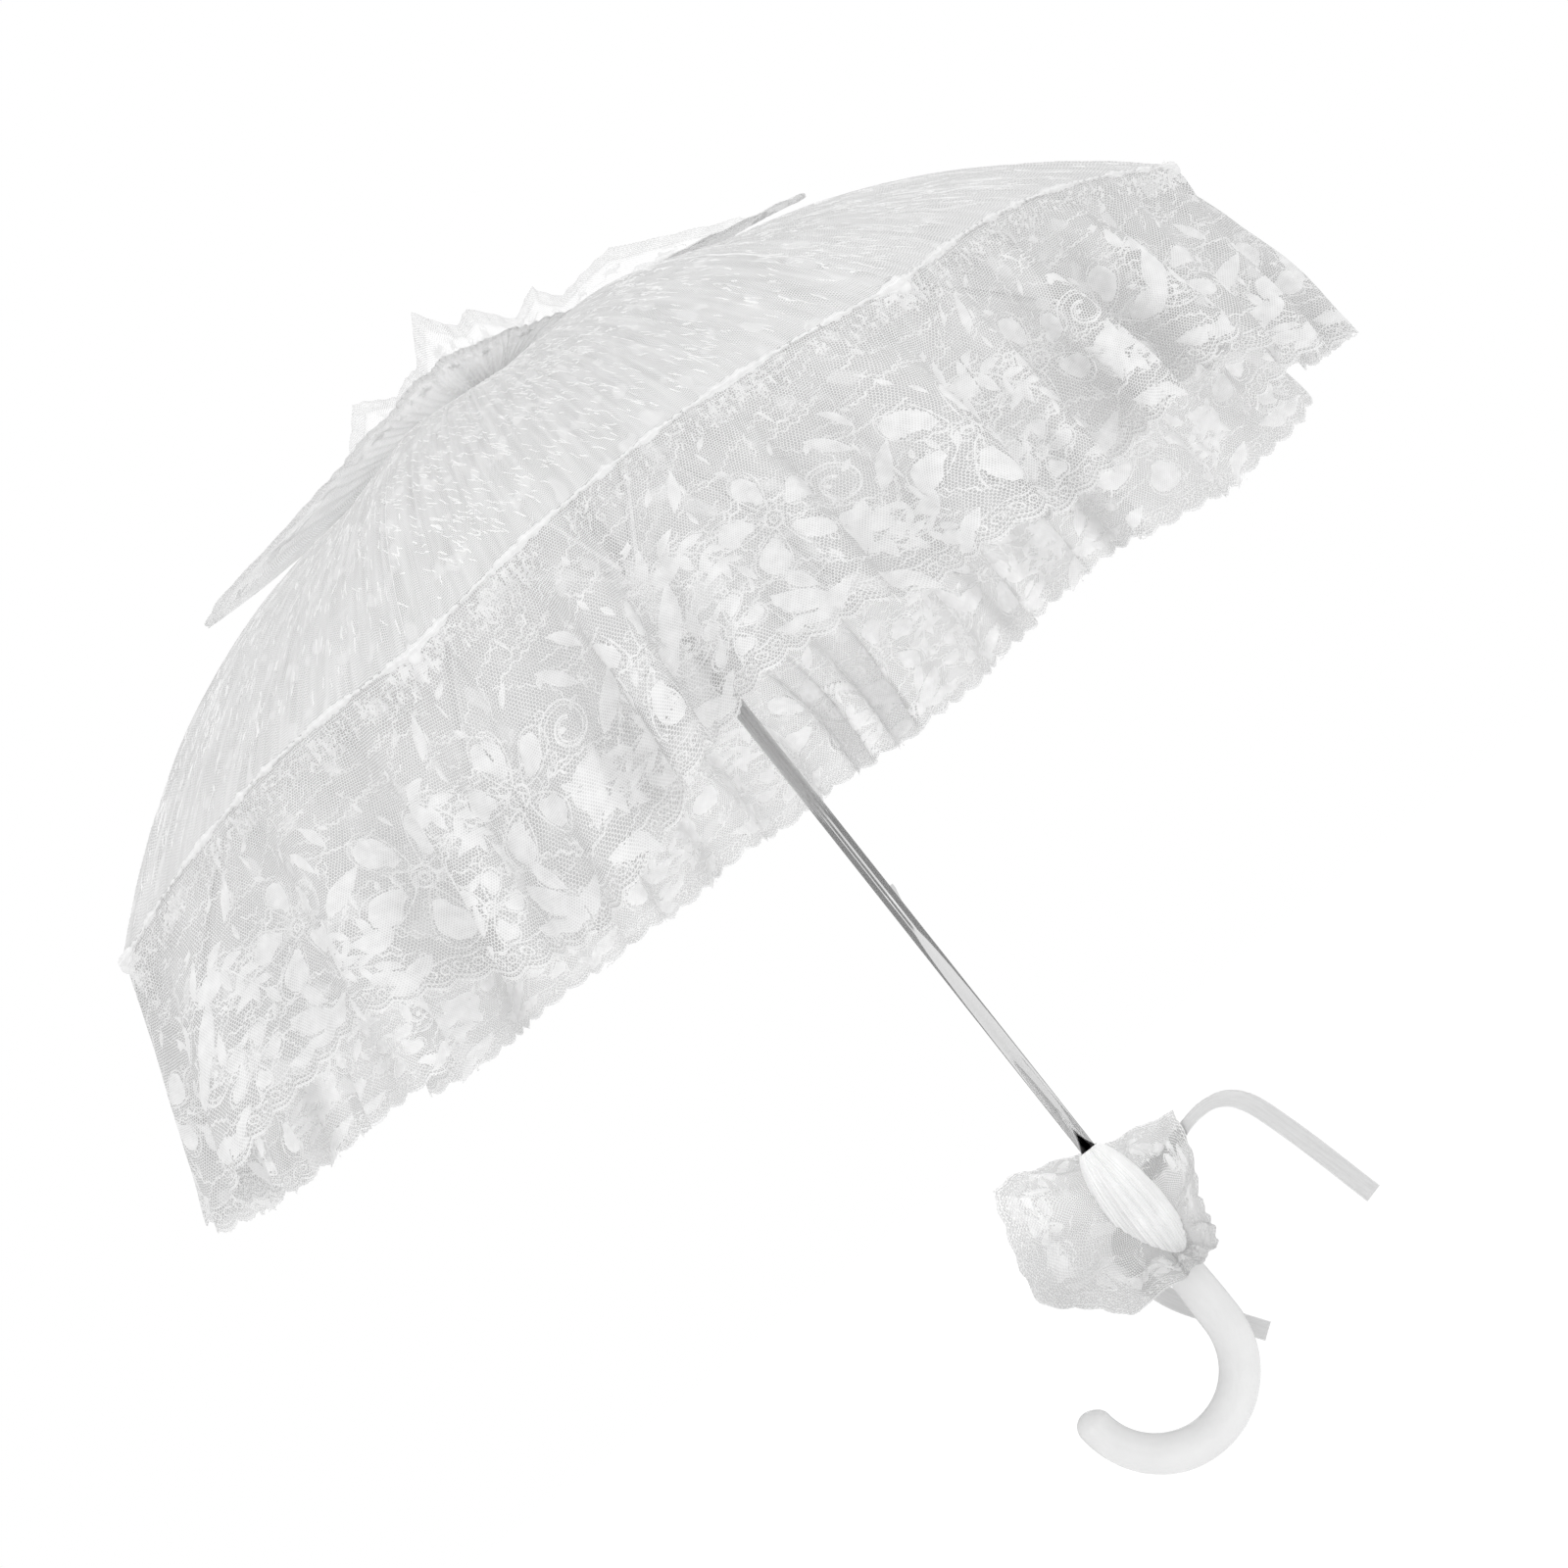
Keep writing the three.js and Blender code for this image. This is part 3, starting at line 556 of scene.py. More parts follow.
def canopy_dashes(rng, start, end):
    """Clumps of short bright threads along the cloth's grain, drawn as seen from above."""
    strips = []
    for _ in range(150):
        reach = math.sqrt(rng.uniform(0.02, 1)) * 0.322
        azimuth = rng.uniform(start, end)
        panel = math.floor((azimuth - FIRST_RIB) / STEP) % RIBS
        next_rib = FIRST_RIB + math.ceil((azimuth - FIRST_RIB) / STEP) * STEP
        grain = azimuth + GRAIN_LEAN[panel] * (next_rib - azimuth) + rng.uniform(-0.05, 0.05)
        along = np.array([math.cos(grain), math.sin(grain)])
        across = np.array([-along[1], along[0]])
        middle = reach * np.array([math.cos(azimuth), math.sin(azimuth)])
        spread = 0.004 + 0.020 * reach / 0.34
        for _ in range(rng.randint(4, 11)):
            length = rng.uniform(0.003, 0.010)
            base = middle + along * rng.gauss(0, 0.016) + across * rng.gauss(0, spread * 0.6)
            lean = rng.uniform(-0.16, 0.16)
            line = np.array([base + along * length * k / 4 + across * (lean * length * k / 4
                             + rng.uniform(-0.00025, 0.00025)) for k in range(5)])
            if np.hypot(*line[0]) < 0.330 and np.hypot(*line[-1]) < 0.330:
                width = rng.uniform(0.45, 0.9) * np.array([0.5, 1.0, 0.8, 1.0, 0.4]) / 1000
                strips.append((line, width, 0.00035))
    return strips


def rib_seams(k):
    """The line where the cloth is drawn tight over a rib, as one fine wavering ridge."""
    azimuth = rib_azimuth(k)
    along = np.array([math.cos(azimuth), math.sin(azimuth)])
    across = np.array([-along[1], along[0]])
    reach = np.linspace(0.012, 0.330, 90)
    waver = 0.0002 * np.sin(reach * 300)
    line = along * reach[:, None] + across * waver[:, None]
    return [(line, np.full(90, 0.0006), 0.0003)]


# Materials

class Shader:
    """A material's node tree, with short ways to add to it."""

    def __init__(self, name):
        self.material = bpy.data.materials.new(name)
        self.material.use_nodes = True
        self.tree = self.material.node_tree
        self.principled = self.tree.nodes["Principled BSDF"]

    def node(self, kind, **sockets):
        node = self.tree.nodes.new("ShaderNode" + kind)
        for key, value in sockets.items():
            self.feed(node.inputs[key.replace("_", " ")], value)
        return node

    def feed(self, socket, value):
        if isinstance(value, bpy.types.NodeSocket):
            self.tree.links.new(value, socket)
        else:
            socket.default_value = value

    def math(self, operation, a, b=0.0):
        node = self.tree.nodes.new("ShaderNodeMath")
        node.operation = operation
        self.feed(node.inputs[0], a)
        self.feed(node.inputs[1], b)
        return node.outputs[0]

    def dot(self, vector, direction):
        node = self.tree.nodes.new("ShaderNodeVectorMath")
        node.operation = "DOT_PRODUCT"
        self.feed(node.inputs[0], vector)
        node.inputs[1].default_value = direction
        return node.outputs["Value"]

    def scaled(self, vector, factors):
        node = self.tree.nodes.new("ShaderNodeVectorMath")
        node.operation = "MULTIPLY"
        self.feed(node.inputs[0], vector)
        node.inputs[1].default_value = factors
        return node.outputs[0]

    def ranged(self, value, low, high, new_low=0.0, new_high=1.0):
        node = self.tree.nodes.new("ShaderNodeMapRange")
        for socket, number in zip(node.inputs, (value, low, high, new_low, new_high)):
            self.feed(socket, number)
        return node.outputs[0]

    def noise(self, vector, scale, detail=2.0):
        return self.node("TexNoise", Vector=vector, Scale=scale, Detail=detail).outputs[0]

    def mix(self, factor, a, b):
        node = self.tree.nodes.new("ShaderNodeMix")
        node.data_type = "RGBA"
        self.feed(node.inputs["Factor"], factor)
        self.feed(node.inputs["A"], a)
        self.feed(node.inputs["B"], b)
        return node.outputs["Result"]

    def bump(self, height, distance, strength=1.0):
        node = self.node("Bump", Height=height, Distance=distance, Strength=strength)
        self.tree.links.new(node.outputs[0], self.principled.inputs["Normal"])

    def set(self, **sockets):
        for key, value in sockets.items():
            self.feed(self.principled.inputs[key.replace("_", " ")], value)

    def cloth_place(self):
        return self.tree.nodes.new("ShaderNodeUVMap").outputs[0]

    def object_place(self):
        return self.tree.nodes.new("ShaderNodeTexCoord").outputs["Object"]


def grey(value, warm=0.0):
    return (value * (1 + warm), value, value * (1 - warm), 1)


def hex_threads(s, place, pitch):
    """1 on the threads of a hexagonal net and 0 in its holes."""
    rate = 4 * math.pi / (math.sqrt(3) * pitch)
    total = None
    for degrees in (90, 210, 330):
        angle = math.radians(degrees)
        phase = s.math("MULTIPLY", s.dot(place, (math.cos(angle), math.sin(angle), 0)), rate)
        wave = s.math("COSINE", phase)
        total = wave if total is None else s.math("ADD", total, wave)
    return s.ranged(total, -0.25, -0.85)


def net_material(name, pitch, stretch, hole_shade, thread, hole_alpha, streak=None, border=None):
    """Hexagonal net; streak draws the gathers' lines. The holes are painted grey as painted shade of the
    cloth seen through them, and beyond the border they are painted a darker grey shade.
    """
    s = Shader(name)
    place = s.cloth_place()
    waver = s.scaled(s.node("TexNoise", Vector=place, Scale=140.0).outputs[1], (0.0012, 0.0012, 0))
    bent = s.tree.nodes.new("ShaderNodeVectorMath")
    s.feed(bent.inputs[0], s.scaled(place, stretch))
    s.feed(bent.inputs[1], waver)
    threads = hex_threads(s, bent.outputs[0], pitch)
    patches = s.ranged(s.noise(place, 38.0, 3.0), 0.42, 0.66)
    solid = s.ranged(s.noise(place, 52.0, 1.0), 0.60, 0.66)
    threads = s.math("MAXIMUM", threads, s.math("MULTIPLY", solid, 0.6))
    # Painted shade: the holes' grey stands in for the shaded cloth seen through them, and patches vary it at
    # random
    holes = s.mix(patches, grey(hole_shade), grey(hole_shade + 0.10))
    if border:
        # Beyond the border the holes are painted a darker grey, more painted shade
        holes = s.mix(s.ranged(s.dot(place, (0, 1, 0)), border, border + 0.004), holes, grey(0.56))
    ground = s.mix(threads, holes, grey(thread))
    height = threads
    if streak:
        lines = s.ranged(s.noise(s.scaled(place, streak), 1.0, 3.0), 0.40, 0.68)
        ground = s.mix(s.math("MULTIPLY", lines, 0.45), ground, grey(thread + 0.06))
        height = s.math("ADD", s.math("MULTIPLY", threads, 0.4), lines)
    clear = s.math("MULTIPLY", s.math("SUBTRACT", 1.0, threads), 1 - hole_alpha)
    s.set(Base_Color=ground, Alpha=s.math("SUBTRACT", 1.0, clear), Roughness=0.85)
    s.set(Specular_IOR_Level=0.25)
    s.bump(height, 0.0003, 0.6)
    return s.material


def clothwork_material(name, colour=0.86):
    """Closely worked thread, with its fine weave."""
    s = Shader(name)
    place = s.cloth_place()
    weave = s.math("MULTIPLY", s.math("SINE", s.math("MULTIPLY", s.dot(place, (1, 0.35, 0)), 9000.0)),
                   s.math("SINE", s.math("MULTIPLY", s.dot(place, (-0.35, 1, 0)), 9000.0)))
    tone = s.ranged(s.noise(place, 160.0, 3.0), 0.3, 0.7)
    cells = hex_threads(s, place, 0.0012)
    woven = s.mix(cells, grey(colour - 0.22), grey(colour))
    solid = s.math("MULTIPLY", tone, 0.7)
    s.set(Base_Color=s.mix(solid, woven, grey(colour + 0.03)), Roughness=0.75)
    s.set(Sheen_Weight=0.15, Specular_IOR_Level=0.35)
    s.bump(s.math("ADD", s.math("MULTIPLY", weave, 0.3), tone), 0.0002, 0.5)
    return s.material


def satin_material():
    s = Shader("white_satin")
    place = s.cloth_place()
    weft = s.math("SINE", s.math("MULTIPLY", s.dot(place, (0, 1, 0)), 14000.0))
    edge = s.ranged(s.math("ABSOLUTE", s.dot(place, (1, 0, 0))), 0.0043, 0.0049)
    tone = s.ranged(s.noise(s.scaled(place, (900, 60, 1)), 1.0), 0.3, 0.7)
    base = s.mix(tone, grey(0.60), grey(0.67))
    s.set(Base_Color=s.mix(edge, base, grey(0.80)), Roughness=0.36, Anisotropic=0.5, Sheen_Weight=0.2)
    s.bump(s.math("ADD", s.math("MULTIPLY", weft, 0.2), edge), 0.0001, 0.4)
    return s.material


def plastic_material(name, colour=0.88, mottle=0.02, roughness=0.16):
    s = Shader(name)
    place = s.object_place()
    swirl = s.ranged(s.noise(place, 60.0, 4.0), 0.3, 0.7)
    orange = s.noise(place, 420.0, 2.0)
    s.set(Base_Color=s.mix(swirl, grey(colour - mottle), grey(colour + mottle)))
    s.set(Roughness=s.ranged(swirl, 0.0, 1.0, roughness, roughness + 0.08), Coat_Weight=0.06)
    s.set(Coat_Roughness=0.06, Specular_IOR_Level=0.15)
    s.bump(s.math("ADD", s.math("MULTIPLY", orange, 0.5), swirl), 0.0006, 0.35)
    return s.material


def painted_metal_material():
    s = Shader("white_painted_metal")
    place = s.object_place()
    speck = s.noise(place, 900.0, 3.0)
    worn = s.ranged(s.noise(place, 70.0, 5.0), 0.62, 0.72)
    s.set(Base_Color=s.mix(worn, grey(0.80), grey(0.66)), Roughness=0.42, Metallic=0.05)
    s.bump(speck, 0.0002, 0.4)
    return s.material


def steel_material(name, stretch=(300, 300, 6)):
    s = Shader(name)
    place = s.object_place()
    drawn = s.noise(s.scaled(place, stretch), 1.0, 3.0)
    smudge = s.ranged(s.noise(place, 40.0, 3.0), 0.35, 0.7)
    s.set(Base_Color=s.mix(drawn, grey(0.62), grey(0.72)), Metallic=1.0)
    s.set(Roughness=s.ranged(smudge, 0.0, 1.0, 0.05, 0.09))
    s.bump(drawn, 0.00002, 0.2)
    return s.material


def floor_material():
    s = Shader("pale_floor")
    s.set(Base_Color=grey(0.96), Roughness=0.9, Specular_IOR_Level=0.0)
    return s.material


# The first grey given to each net is painted shade for its holes, standing in for the shaded cloth seen
# through them
CANOPY_NET = net_material("canopy_net", NET_PITCH, (1.3, 1, 1), 0.52, 0.78, 0.80, (200, 14, 1))
RUFFLE_NET = net_material("ruffle_net", NET_PITCH, (1, 1, 1), 0.42, 0.76, 0.60)
# The frill's tulle greys are partly its own white and partly painted light: brighter than the other nets to
# stand in for light shining through the shaded frill
FRILL_NET = net_material("frill_tulle", 0.0012, (1, 1, 1), 0.93, 0.98, 0.50, (150, 12, 1), 0.172)
CUFF_NET = net_material("cuff_net", 0.0013, (1, 1, 1), 0.36, 0.76, 0.62)
SLEEVE_NET = net_material("cuff_tulle", 0.0012, (1, 1, 1), 0.80, 0.87, 0.95, (300, 20, 1))
CLOTHWORK = clothwork_material("lace_clothwork", 0.83)
CANOPY_THREAD = clothwork_material("canopy_thread", 0.93)
FRILL_CLOTHWORK = clothwork_material("frill_clothwork", 0.93)
SEAM_CLOTH = clothwork_material("gathered_seam", 0.90)
SATIN = satin_material()
HANDLE = plastic_material("handle_plastic", 0.75, 0.015, 0.14)
FITTING = plastic_material("fitting_plastic", 0.84, 0.02, 0.25)
TIP = plastic_material("tip_plastic", 0.80, 0.01, 0.14)
RIB_METAL = painted_metal_material()
STEEL = steel_material("polished_steel")


# Pieces


def add_canopy(k):
    start, end = rib_azimuth(k) - HALF, rib_azimuth(k) + HALF
    rng = random.Random(100 + k)
    us = np.linspace(start, end, 225) * CANOPY_CLOTH_RADIUS
    net = sheet_mesh(f"canopy_lace_{k + 1}", canopy, us, np.linspace(0.0065, 0.3395, 64), CANOPY_NET)
    strips = canopy_dashes(rng, start, end) + rib_seams(k)
    dashes = motif_mesh(f"canopy_threads_{k + 1}", canopy_from_above, strips, CANOPY_THREAD)
    for piece in (net, dashes):
        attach(piece, f"rib_{k + 1}")
        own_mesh(piece)
    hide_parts(f"canopy_gore_{k + 1}")


def add_seam(k):
    """The rolled band along the canopy's edge, drawn into puckers by the stitching."""
    start, end = rib_azimuth(k) - HALF, rib_azimuth(k) + HALF
    columns, around = 360, 9
    angle = np.linspace(0, 2 * math.pi, around, endpoint=False)
    azimuth = np.linspace(start, end, columns)
    share = rib_share(azimuth)
    middle = canopy(azimuth * CANOPY_CLOTH_RADIUS, np.full(columns, 0.3385))
    middle[:, 2] += -0.0004 + 0.0002 * np.sin(azimuth * 140)
    out = np.stack([np.cos(azimuth), np.sin(azimuth), np.zeros(columns)], 1)
    pucker = np.sin(azimuth * 610 + 2 * np.sin(azimuth * 37)) * np.sin(azimuth * 211 + 1)
    swell = 0.5 + 0.5 * np.sin(azimuth * 52 + 2 * np.sin(azimuth * 17))
    size = 0.0008 * (1 + 0.35 * pucker) + 0.0011 * swell ** 3 + 0.0018 * np.exp(-(share / 0.05) ** 2)
    points = (middle[:, None] + out[:, None] * (np.cos(angle) * size[:, None] * 0.8)[:, :, None]
              + np.array([0, 0, 1.0]) * (np.sin(angle) * size[:, None] * 1.15)[:, :, None])
    faces = grid_faces(around, columns, closed=True)
    uv = np.stack([np.repeat(azimuth * 0.6, around), np.tile(angle * 0.002, columns)], 1)
    band = build(f"seam_band_{k + 1}", points.reshape(-1, 3), faces, SEAM_CLOTH, uv)
    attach(band, f"rib_{k + 1}")
    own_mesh(band)


PATTERN = ruffle_repeat(5)
REPEATED = []
for number in range(REPEATS):
    REPEATED += in_metres(PATTERN, (number * REPEAT, 0.0))


def strips_between(strips, start, end, whole):
    """The strips whose middle lies between two places along a strip of cloth that closes on itself."""
    found = []
    for line, width, height in strips:
        middle = (line[:, 0].min() + line[:, 0].max()) / 2
        for turn in (-whole, 0.0, whole):
            if start <= middle + turn < end:
                found.append((line + (turn, 0), width, height))
    return found


def add_ruffle(k):
    whole = RIBS * CLOTH_PER_PANEL
    for half, side in (("a", -1), ("b", 1)):
        low = (k + min(0, side * 0.5)) * CLOTH_PER_PANEL
        high = low + CLOTH_PER_PANEL / 2
        rng = random.Random(k * 2 + side)
        us = np.linspace(low, high, 180)
        vs = np.concatenate([np.linspace(-0.002, 0.11, 26), np.linspace(0.113, RUFFLE_WIDTH, 9)])
        net = sheet_mesh(f"ruffle_net_{k + 1}{half}", ruffle, us, vs, RUFFLE_NET)
        strips = strips_between(REPEATED, low, high, whole) + seam_puckers(rng, low, high)
        motif = motif_mesh(f"ruffle_motif_{k + 1}{half}", ruffle, strips, CLOTHWORK)
        for piece in (net, motif):
            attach(piece, f"ruffle_{k + 1}")
            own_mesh(piece)
        if side == 1:
            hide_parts(f"ruffle_{k + 1}")


def frill_strips():
    """The frill's lace border: scalloped edge with eyelets, a wavy line and small flowers."""
    length = 2 * math.pi * FRILL_CLOTH * 1000
    strips = hem_lines(length, 189, length / 92)
    rng = random.Random(21)
    for k in range(46):
        x = (k + 0.5) * length / 46
        strips += leaf(x - 3, 160, 0.9 + rng.uniform(-0.3, 0.3), 11, 3.4)
        strips += leaf(x + 3, 158, 2.1 + rng.uniform(-0.3, 0.3), 11, 3.4)
        strips += ring(x, 169, 2.6, 3.0, 0.8)
        if k % 3 == 0:
            strips += flower(x, 156, 9, rng.uniform(0, 1), 5)
    for _ in range(120):
        start = (rng.uniform(0, length), rng.uniform(138, 170))
        strips += wavy(rng, start, rng.uniform(0, 6.28), rng.uniform(8, 18), 0.6)
    return in_metres(strips)


def add_frill(k, strips):
    low = (rib_azimuth(k) - HALF) * FRILL_CLOTH
    high = (rib_azimuth(k) + HALF) * FRILL_CLOTH
    us = np.linspace(low, high, 130)
    net = sheet_mesh(f"frill_tulle_{k + 1}", frill, us, np.linspace(0.002, FRILL_CLOTH_LENGTH, 44), FRILL_NET)
    own = strips_between(strips, low, high, 2 * math.pi * FRILL_CLOTH)
    border = motif_mesh(f"frill_border_{k + 1}", frill, own, FRILL_CLOTHWORK)
    for piece in (net, border):
        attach(piece, f"rib_{k + 1}")
        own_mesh(piece)
    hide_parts(f"top_frill_{k + 1}")


def cuff_strips():
    across, depth = 2 * math.pi * CUFF_CLOTH * 1000, CUFF_LENGTH * 1000
    strips = hem_lines(across, depth, across / 30)
    rng = random.Random(3)
    for k in range(9):
        x = (k + 0.5) * across / 9
        strips += flower(x, depth - 27, 12, rng.uniform(0, 1), 5)
        strips += leaf(x + 12, depth - 33, 1.2, 15, 5.0)
        strips += leaf(x + 20, depth - 20, 4.4, 15, 5.0)
        strips += scroll(x + 17, depth - 28, 7, rng.uniform(0, 6), 1.3)
    for _ in range(120):
        start = (rng.uniform(0, across), rng.uniform(8, depth - 12))
        strips += wavy(rng, start, rng.uniform(0, 6.28), rng.uniform(8, 20), rng.uniform(0.5, 0.9))
    return in_metres(strips)


def add_cuff():
    length = 2 * math.pi * CUFF_CLOTH
    net = sheet_mesh("cuff_net", cuff, np.linspace(0, length, 360), np.linspace(0, CUFF_LENGTH, 48), CUFF_NET)
    border = motif_mesh("cuff_motif", cuff, cuff_strips(), CLOTHWORK)
    around = np.linspace(0, 2 * math.pi * SLEEVE_CLOTH, 300)
    tube = sheet_mesh("cuff_sleeve", sleeve, around, np.linspace(0, 0.073, 60), SLEEVE_NET)
    for piece in (net, border, tube):
        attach(piece, "shaft")
    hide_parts("handle_cuff")


# Handle, shaft and fittings

def handle_line(share):
    straight, radius, turn = 0.096, 0.041, math.radians(186)
    along = share * (straight + radius * turn)
    if along <= straight:
        return Vector((0, 0, 0.080 - along)), Vector((1, 0, 0))
    angle = (along - straight) / radius
    centre = Vector((radius * (math.cos(angle) - 1), 0, -0.016 - radius * math.sin(angle)))
    return centre, Vector((math.cos(angle), 0, -math.sin(angle)))


def handle_radius(share):
    body = 0.007 + 0.0032 * smooth(share, 0.05, 0.4) - 0.0012 * smooth(share, 0.75, 0.97)
    to_end = min(1.0, (1 - share) / 0.036)
    return body * math.sqrt(max(0.0004, 1 - (1 - to_end) ** 2))


def add_handle():
    steps = np.concatenate([np.linspace(0, 0.96, 90), 1 - 0.04 * (1 - np.linspace(0.05, 1, 16)) ** 1.6])
    sides = 36
    points = []
    for share in steps:
        centre, across = handle_line(share)
        radius = handle_radius(share)
        for i in range(sides):
            angle = 2 * math.pi * i / sides
            seam = 1 + 0.012 * math.exp(-((abs(angle - math.pi / 2) % math.pi) / 0.05) ** 2)
            points.append(centre + across * radius * seam * math.cos(angle)
                          + Vector((0, 1, 0)) * radius * seam * math.sin(angle))
    handle = build("handle_crook", [tuple(p) for p in points],
                   grid_faces(sides, len(steps), closed=True)[:, ::-1], HANDLE)
    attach(handle, "shaft")
    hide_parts("crook_handle")


def add_shaft():
    profile = [(0.0033, 0.0405), (0.0040, 0.0403), (0.0040, 0.30), (0.0040, 0.45), (0.0040, 0.5807),
               (0.0037, 0.5810), (0.0033, 0.5810)]
    shaft = turned("steel_shaft", profile, STEEL, 48)
    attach(shaft, "shaft")
    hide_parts("shaft_tube")


def add_tip(k):
    """A ball with a sleeve over the rib's end."""
    end = 0.336
    slope = -DOME_RISE * DOME_POWER / RIM_RADIUS * (end / RIM_RADIUS) ** (DOME_POWER - 1)
    z = RIM_Z + DOME_RISE * (1 - (end / RIM_RADIUS) ** DOME_POWER)
    direction = Vector((1, 0, slope)).normalized()
    place = Matrix.Translation((end, 0, z)) @ direction.to_track_quat("Z", "Y").to_matrix().to_4x4()
    place = Matrix.Rotation(rib_azimuth(k), 4, "Z") @ place
    profile = [(0.0018, -0.005), (0.0030, -0.005), (0.0030, 0.0012)]
    for degrees in range(-40, 91, 10):
        angle = math.radians(degrees)
        profile.append((0.0034 * math.cos(angle) + 1e-5, 0.0042 + 0.0034 * math.sin(angle)))
    ball = turned(f"tip_ball_{k + 1}", profile, TIP, 28, place)
    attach(ball, f"rib_{k + 1}")
    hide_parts(f"rib_tip_{k + 1}")


def ribbon(name, path, facing):
    """A satin ribbon 10 mm wide along a path; facing holds its width's direction at each point."""
    line = curve_through(np.array(path), 1.2)
    count = len(line)
    tangent = np.gradient(line, axis=0)
    tangent /= np.linalg.norm(tangent, axis=1)[:, None]
    keys = np.linspace(0, 1, len(facing))
    share = np.linspace(0, 1, count)
    across = np.stack([np.interp(share, keys, [f[axis] for f in facing]) for axis in range(3)], 1)
    across -= tangent * np.sum(across * tangent, axis=1)[:, None]
    across /= np.linalg.norm(across, axis=1)[:, None]
    normal = np.cross(tangent, across)
    columns = np.linspace(-5, 5, 9)
    cup = 0.35 * (columns / 5) ** 2
    run = np.concatenate([[0], np.cumsum(np.linalg.norm(np.diff(line, axis=0), axis=1))])
    ripple = 0.25 * np.sin(run / 5)[:, None] * (columns / 5)[None, :] ** 2
    points = (line[:, None] + across[:, None] * columns[None, :, None]
              + normal[:, None] * (cup[None, :] + ripple)[:, :, None]) / 1000
    uv = np.stack([np.tile(columns / 1000, count), np.repeat(run / 1000, 9)], 1)
    faces = grid_faces(9, count)
    piece = build(name, points.reshape(-1, 3), faces, SATIN, uv)
    solid = piece.modifiers.new("thickness", "SOLIDIFY")
    solid.thickness = 0.00025
    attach(piece, "shaft")
    return piece


def add_ribbons():
    count, sides = 120, 9
    angle = np.linspace(0, 2 * math.pi, count, endpoint=False)
    widths = np.linspace(-1, 1, sides)
    points = []
    for w in widths:
        bulge = 0.0092 + 0.0007 * (1 - w ** 2) + 0.0003 * np.sin(angle * 9 + w * 2)
        z = 0.058 + w * 0.0028 * (0.86 + 0.08 * np.sin(angle * 5)) + 0.0008 * np.sin(angle * 2)
        points.append(np.stack([bulge * np.cos(angle), bulge * np.sin(angle), z], 1))
    uv = np.stack([np.repeat(widths * 0.005, count), np.tile(angle * 0.013, sides)], 1)
    band = build("satin_band", np.concatenate(points), grid_faces(count, sides, closed=True), SATIN, uv)
    band.modifiers.new("thickness", "SOLIDIFY").thickness = 0.0004
    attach(band, "shaft")
    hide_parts("cuff_ribbon")
    ribbon("ribbon_tail_long",
           [(6, 8, 58), (30, 24, 60), (56, 16, 67), (74, 5, 60), (84, -5, 34), (96, -9, -14)],
           [(0, 0.7, 0.7), (0.3, 0.6, 0.8), (0.5, 0.65, 0.55),
            (0.9, 0.1, 0.45), (0.96, 0, 0.3), (0.96, 0, 0.3)])
    ribbon("ribbon_tail_short",
           [(-6, 8, 56), (-20, 17, 32), (-15, 22, 6), (0, 22, -18), (14, 22, -38)],
           [(0.4, 0, 1), (1, 0, 0.2), (0.9, 0, 0.4),
            (0.83, 0, 0.5), (0.83, -0.08, 0.56), (0.83, -0.08, 0.56)])


def finish_cad_nodes():
    finishes = {"steel": STEEL, "fitting_plastic": FITTING, "rib_metal": RIB_METAL}
    slots = {row["node"]: row["material_slot"] for row in frame["record"]["subparts"]}
    for name, node in frame["nodes"].items():
        if slots.get(name) in finishes:
            node.data.materials.clear()
            node.data.materials.append(finishes[slots[name]])


# Light, floor and camera

# Each card's extent, in degrees round from the front
FLAG_DEGREES = [(-175, -38), (-24, 8), (36, 175)]


def area_light(name, place, aim, size, power):
    """A soft disk of light, which shows in no picture itself."""
    data = bpy.data.lights.new(name, "AREA")
    data.shape = "DISK"
    data.size = size
    data.energy = power
    light = bpy.data.objects.new(name, data)
    bpy.context.scene.collection.objects.link(light)
    light.location = place
    light.rotation_euler = (Vector(aim) - Vector(place)).to_track_quat("-Z", "Y").to_euler()
    light.visible_camera = False
    light.visible_glossy = False


def overhead_light():
    """A broad soft light from above, which keeps the floor as pale as the backdrop."""
    data = bpy.data.lights.new("overhead", "SUN")
    data.energy = 0.35
    data.angle = math.radians(70)
    light = bpy.data.objects.new("overhead", data)
    bpy.context.scene.collection.objects.link(light)
    light.location = (0, 0, 3)


def set_world():
    world = bpy.data.worlds.new("studio")
    bpy.context.scene.world = world
    world.use_nodes = True
    backdrop = world.node_tree.nodes["Background"]
    backdrop.inputs["Color"].default_value = grey(1.0)
    backdrop.inputs["Strength"].default_value = 1.0


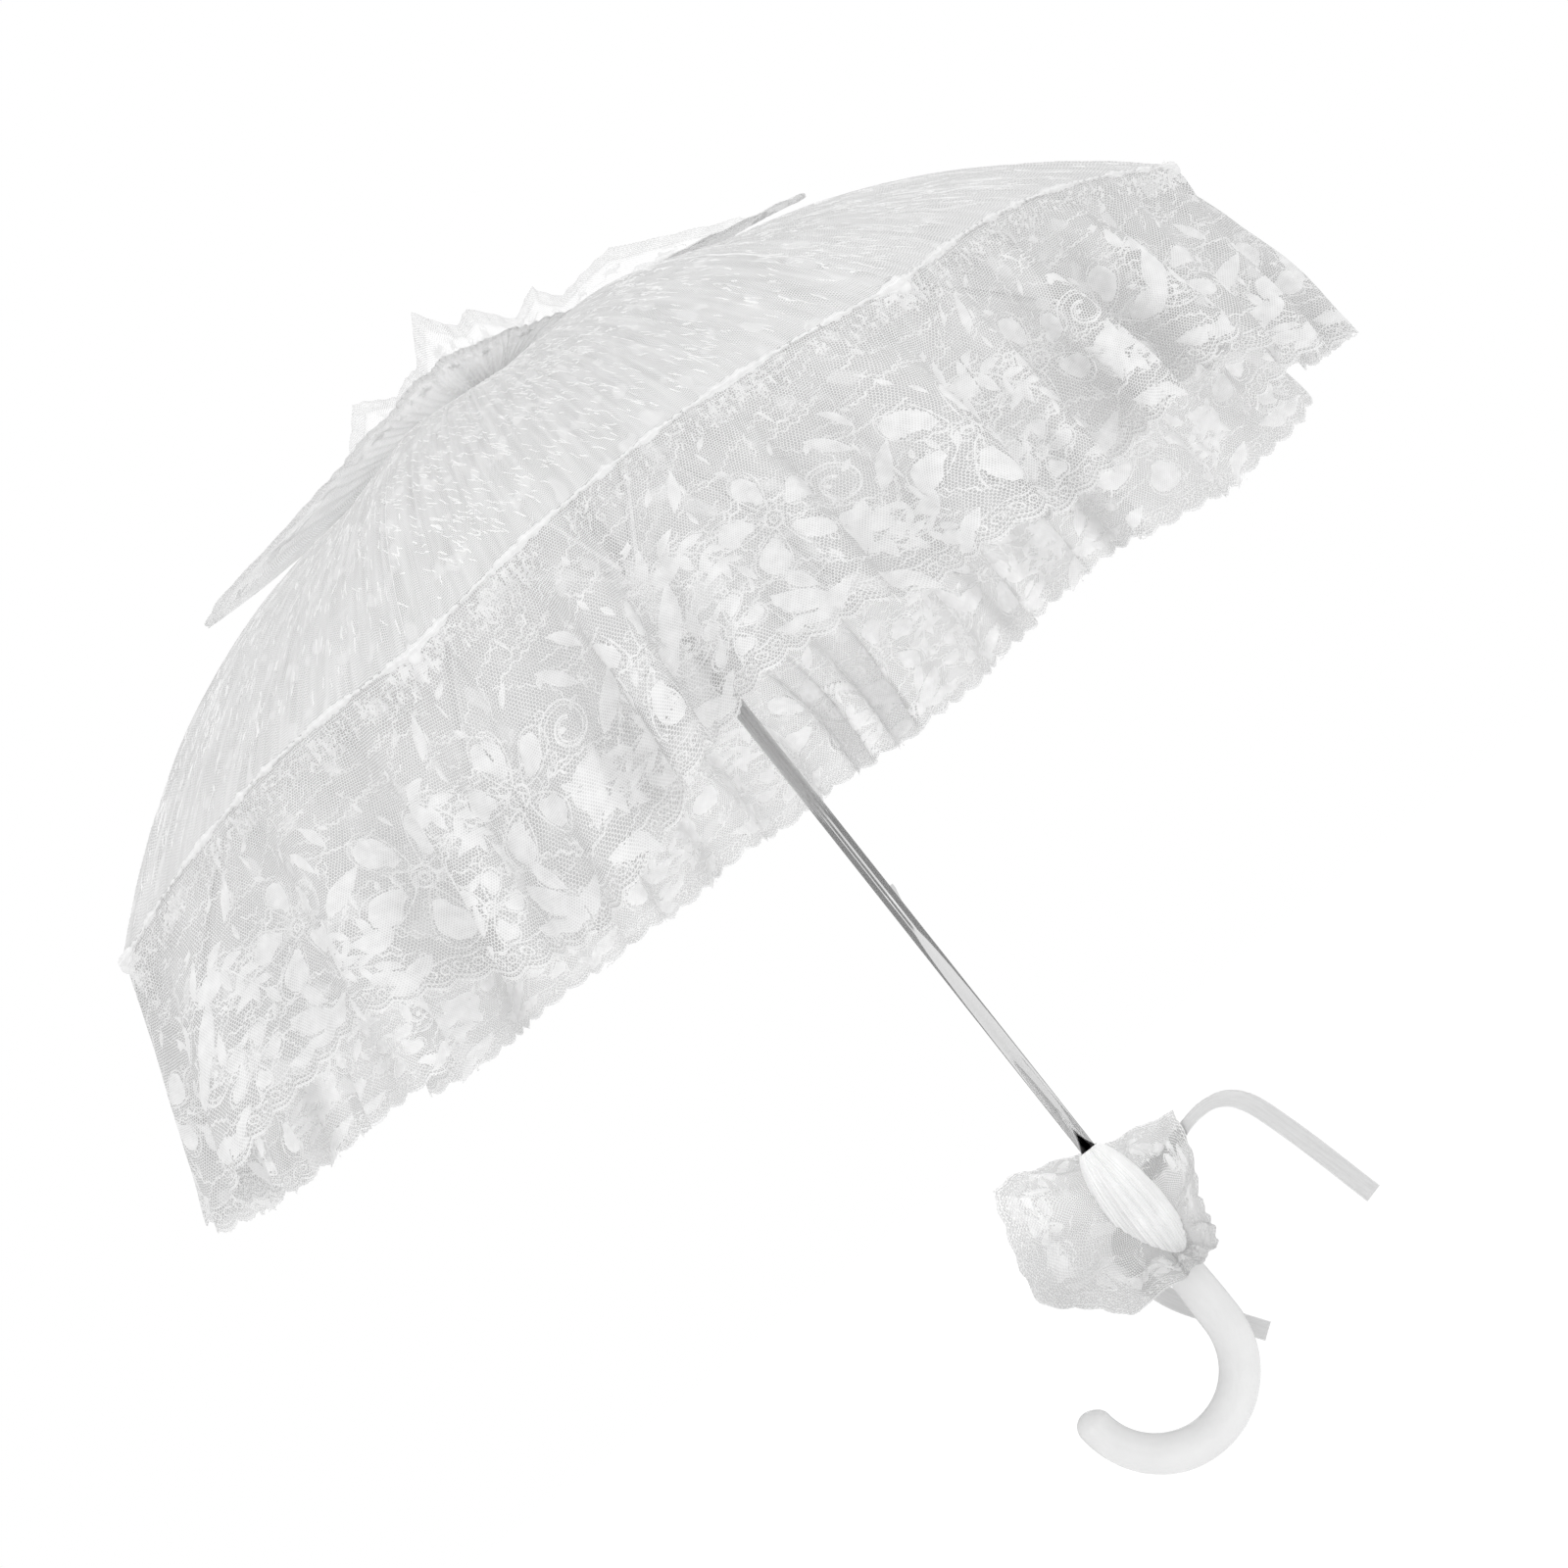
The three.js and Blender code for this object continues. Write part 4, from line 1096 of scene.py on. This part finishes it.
def add_flags():
    """Tall dark cards round the studio, out of view, that polished surfaces reflect as bands."""
    s = Shader("dark_card")
    s.set(Base_Color=grey(0.36), Roughness=1.0, Specular_IOR_Level=0.0)
    for number, (start, end) in enumerate(FLAG_DEGREES):
        angle = np.radians(np.linspace(start, end, 2 + (end - start) // 20) - 90)
        rows = [np.stack([1.3 * np.cos(angle), 1.3 * np.sin(angle), np.full(len(angle), z)], 1)
                for z in (-0.415, 2.5)]
        card = build(f"dark_card_{number}", np.concatenate(rows), grid_faces(len(angle), 2), s.material)
        card.visible_camera = False
        card.visible_diffuse = False
        card.visible_shadow = False
        card.visible_transmission = False


def add_floor():
    bpy.ops.mesh.primitive_plane_add(size=30, location=(0, 0, -0.42))
    floor = bpy.context.object
    floor.name = "floor"
    floor.data.materials.append(floor_material())


CAMERA_AIM_Z = RIM_Z
CAMERA_DISTANCE = 1.705
CAMERA_ELEVATION = math.radians(-8.61)
CAMERA_ROLL = math.radians(-38.35)


def add_camera():
    data = bpy.data.cameras.new("camera")
    data.lens = 76.5
    data.sensor_width = 36
    data.shift_x = 0.0763
    data.shift_y = -0.1088
    camera = bpy.data.objects.new("camera", data)
    bpy.context.scene.collection.objects.link(camera)
    level, rise = math.cos(CAMERA_ELEVATION), math.sin(CAMERA_ELEVATION)
    lean, tip = math.cos(CAMERA_ROLL), math.sin(CAMERA_ROLL)
    back = (0, -level, rise)
    across = (lean, tip * rise, tip * level)
    up = (-tip, lean * rise, lean * level)
    turn = Matrix((across, up, back)).transposed().to_4x4()
    place = (0, -CAMERA_DISTANCE * level, CAMERA_AIM_Z + CAMERA_DISTANCE * rise)
    camera.matrix_world = Matrix.Translation(place) @ turn
    bpy.context.scene.camera = camera


add_camera()
set_world()
add_floor()
add_flags()
area_light("low_left", (-1.1, -2.0, -0.25), (0, 0.2, 0.45), 1.2, 5)
area_light("low_right", (1.2, -1.9, -0.2), (0, 0.2, 0.45), 1.2, 5)
area_light("inside", (0.0, -0.12, 0.26), (0, 0.25, 0.42), 0.25, 0.55)
overhead_light()
bpy.context.scene.view_settings.view_transform = "Standard"

for rib in range(RIBS):
    add_canopy(rib)
    add_seam(rib)
    add_ruffle(rib)
    add_tip(rib)
FRILL_STRIPS = frill_strips()
for rib in range(RIBS):
    add_frill(rib, FRILL_STRIPS)
add_cuff()
add_ribbons()
add_handle()
add_shaft()
finish_cad_nodes()
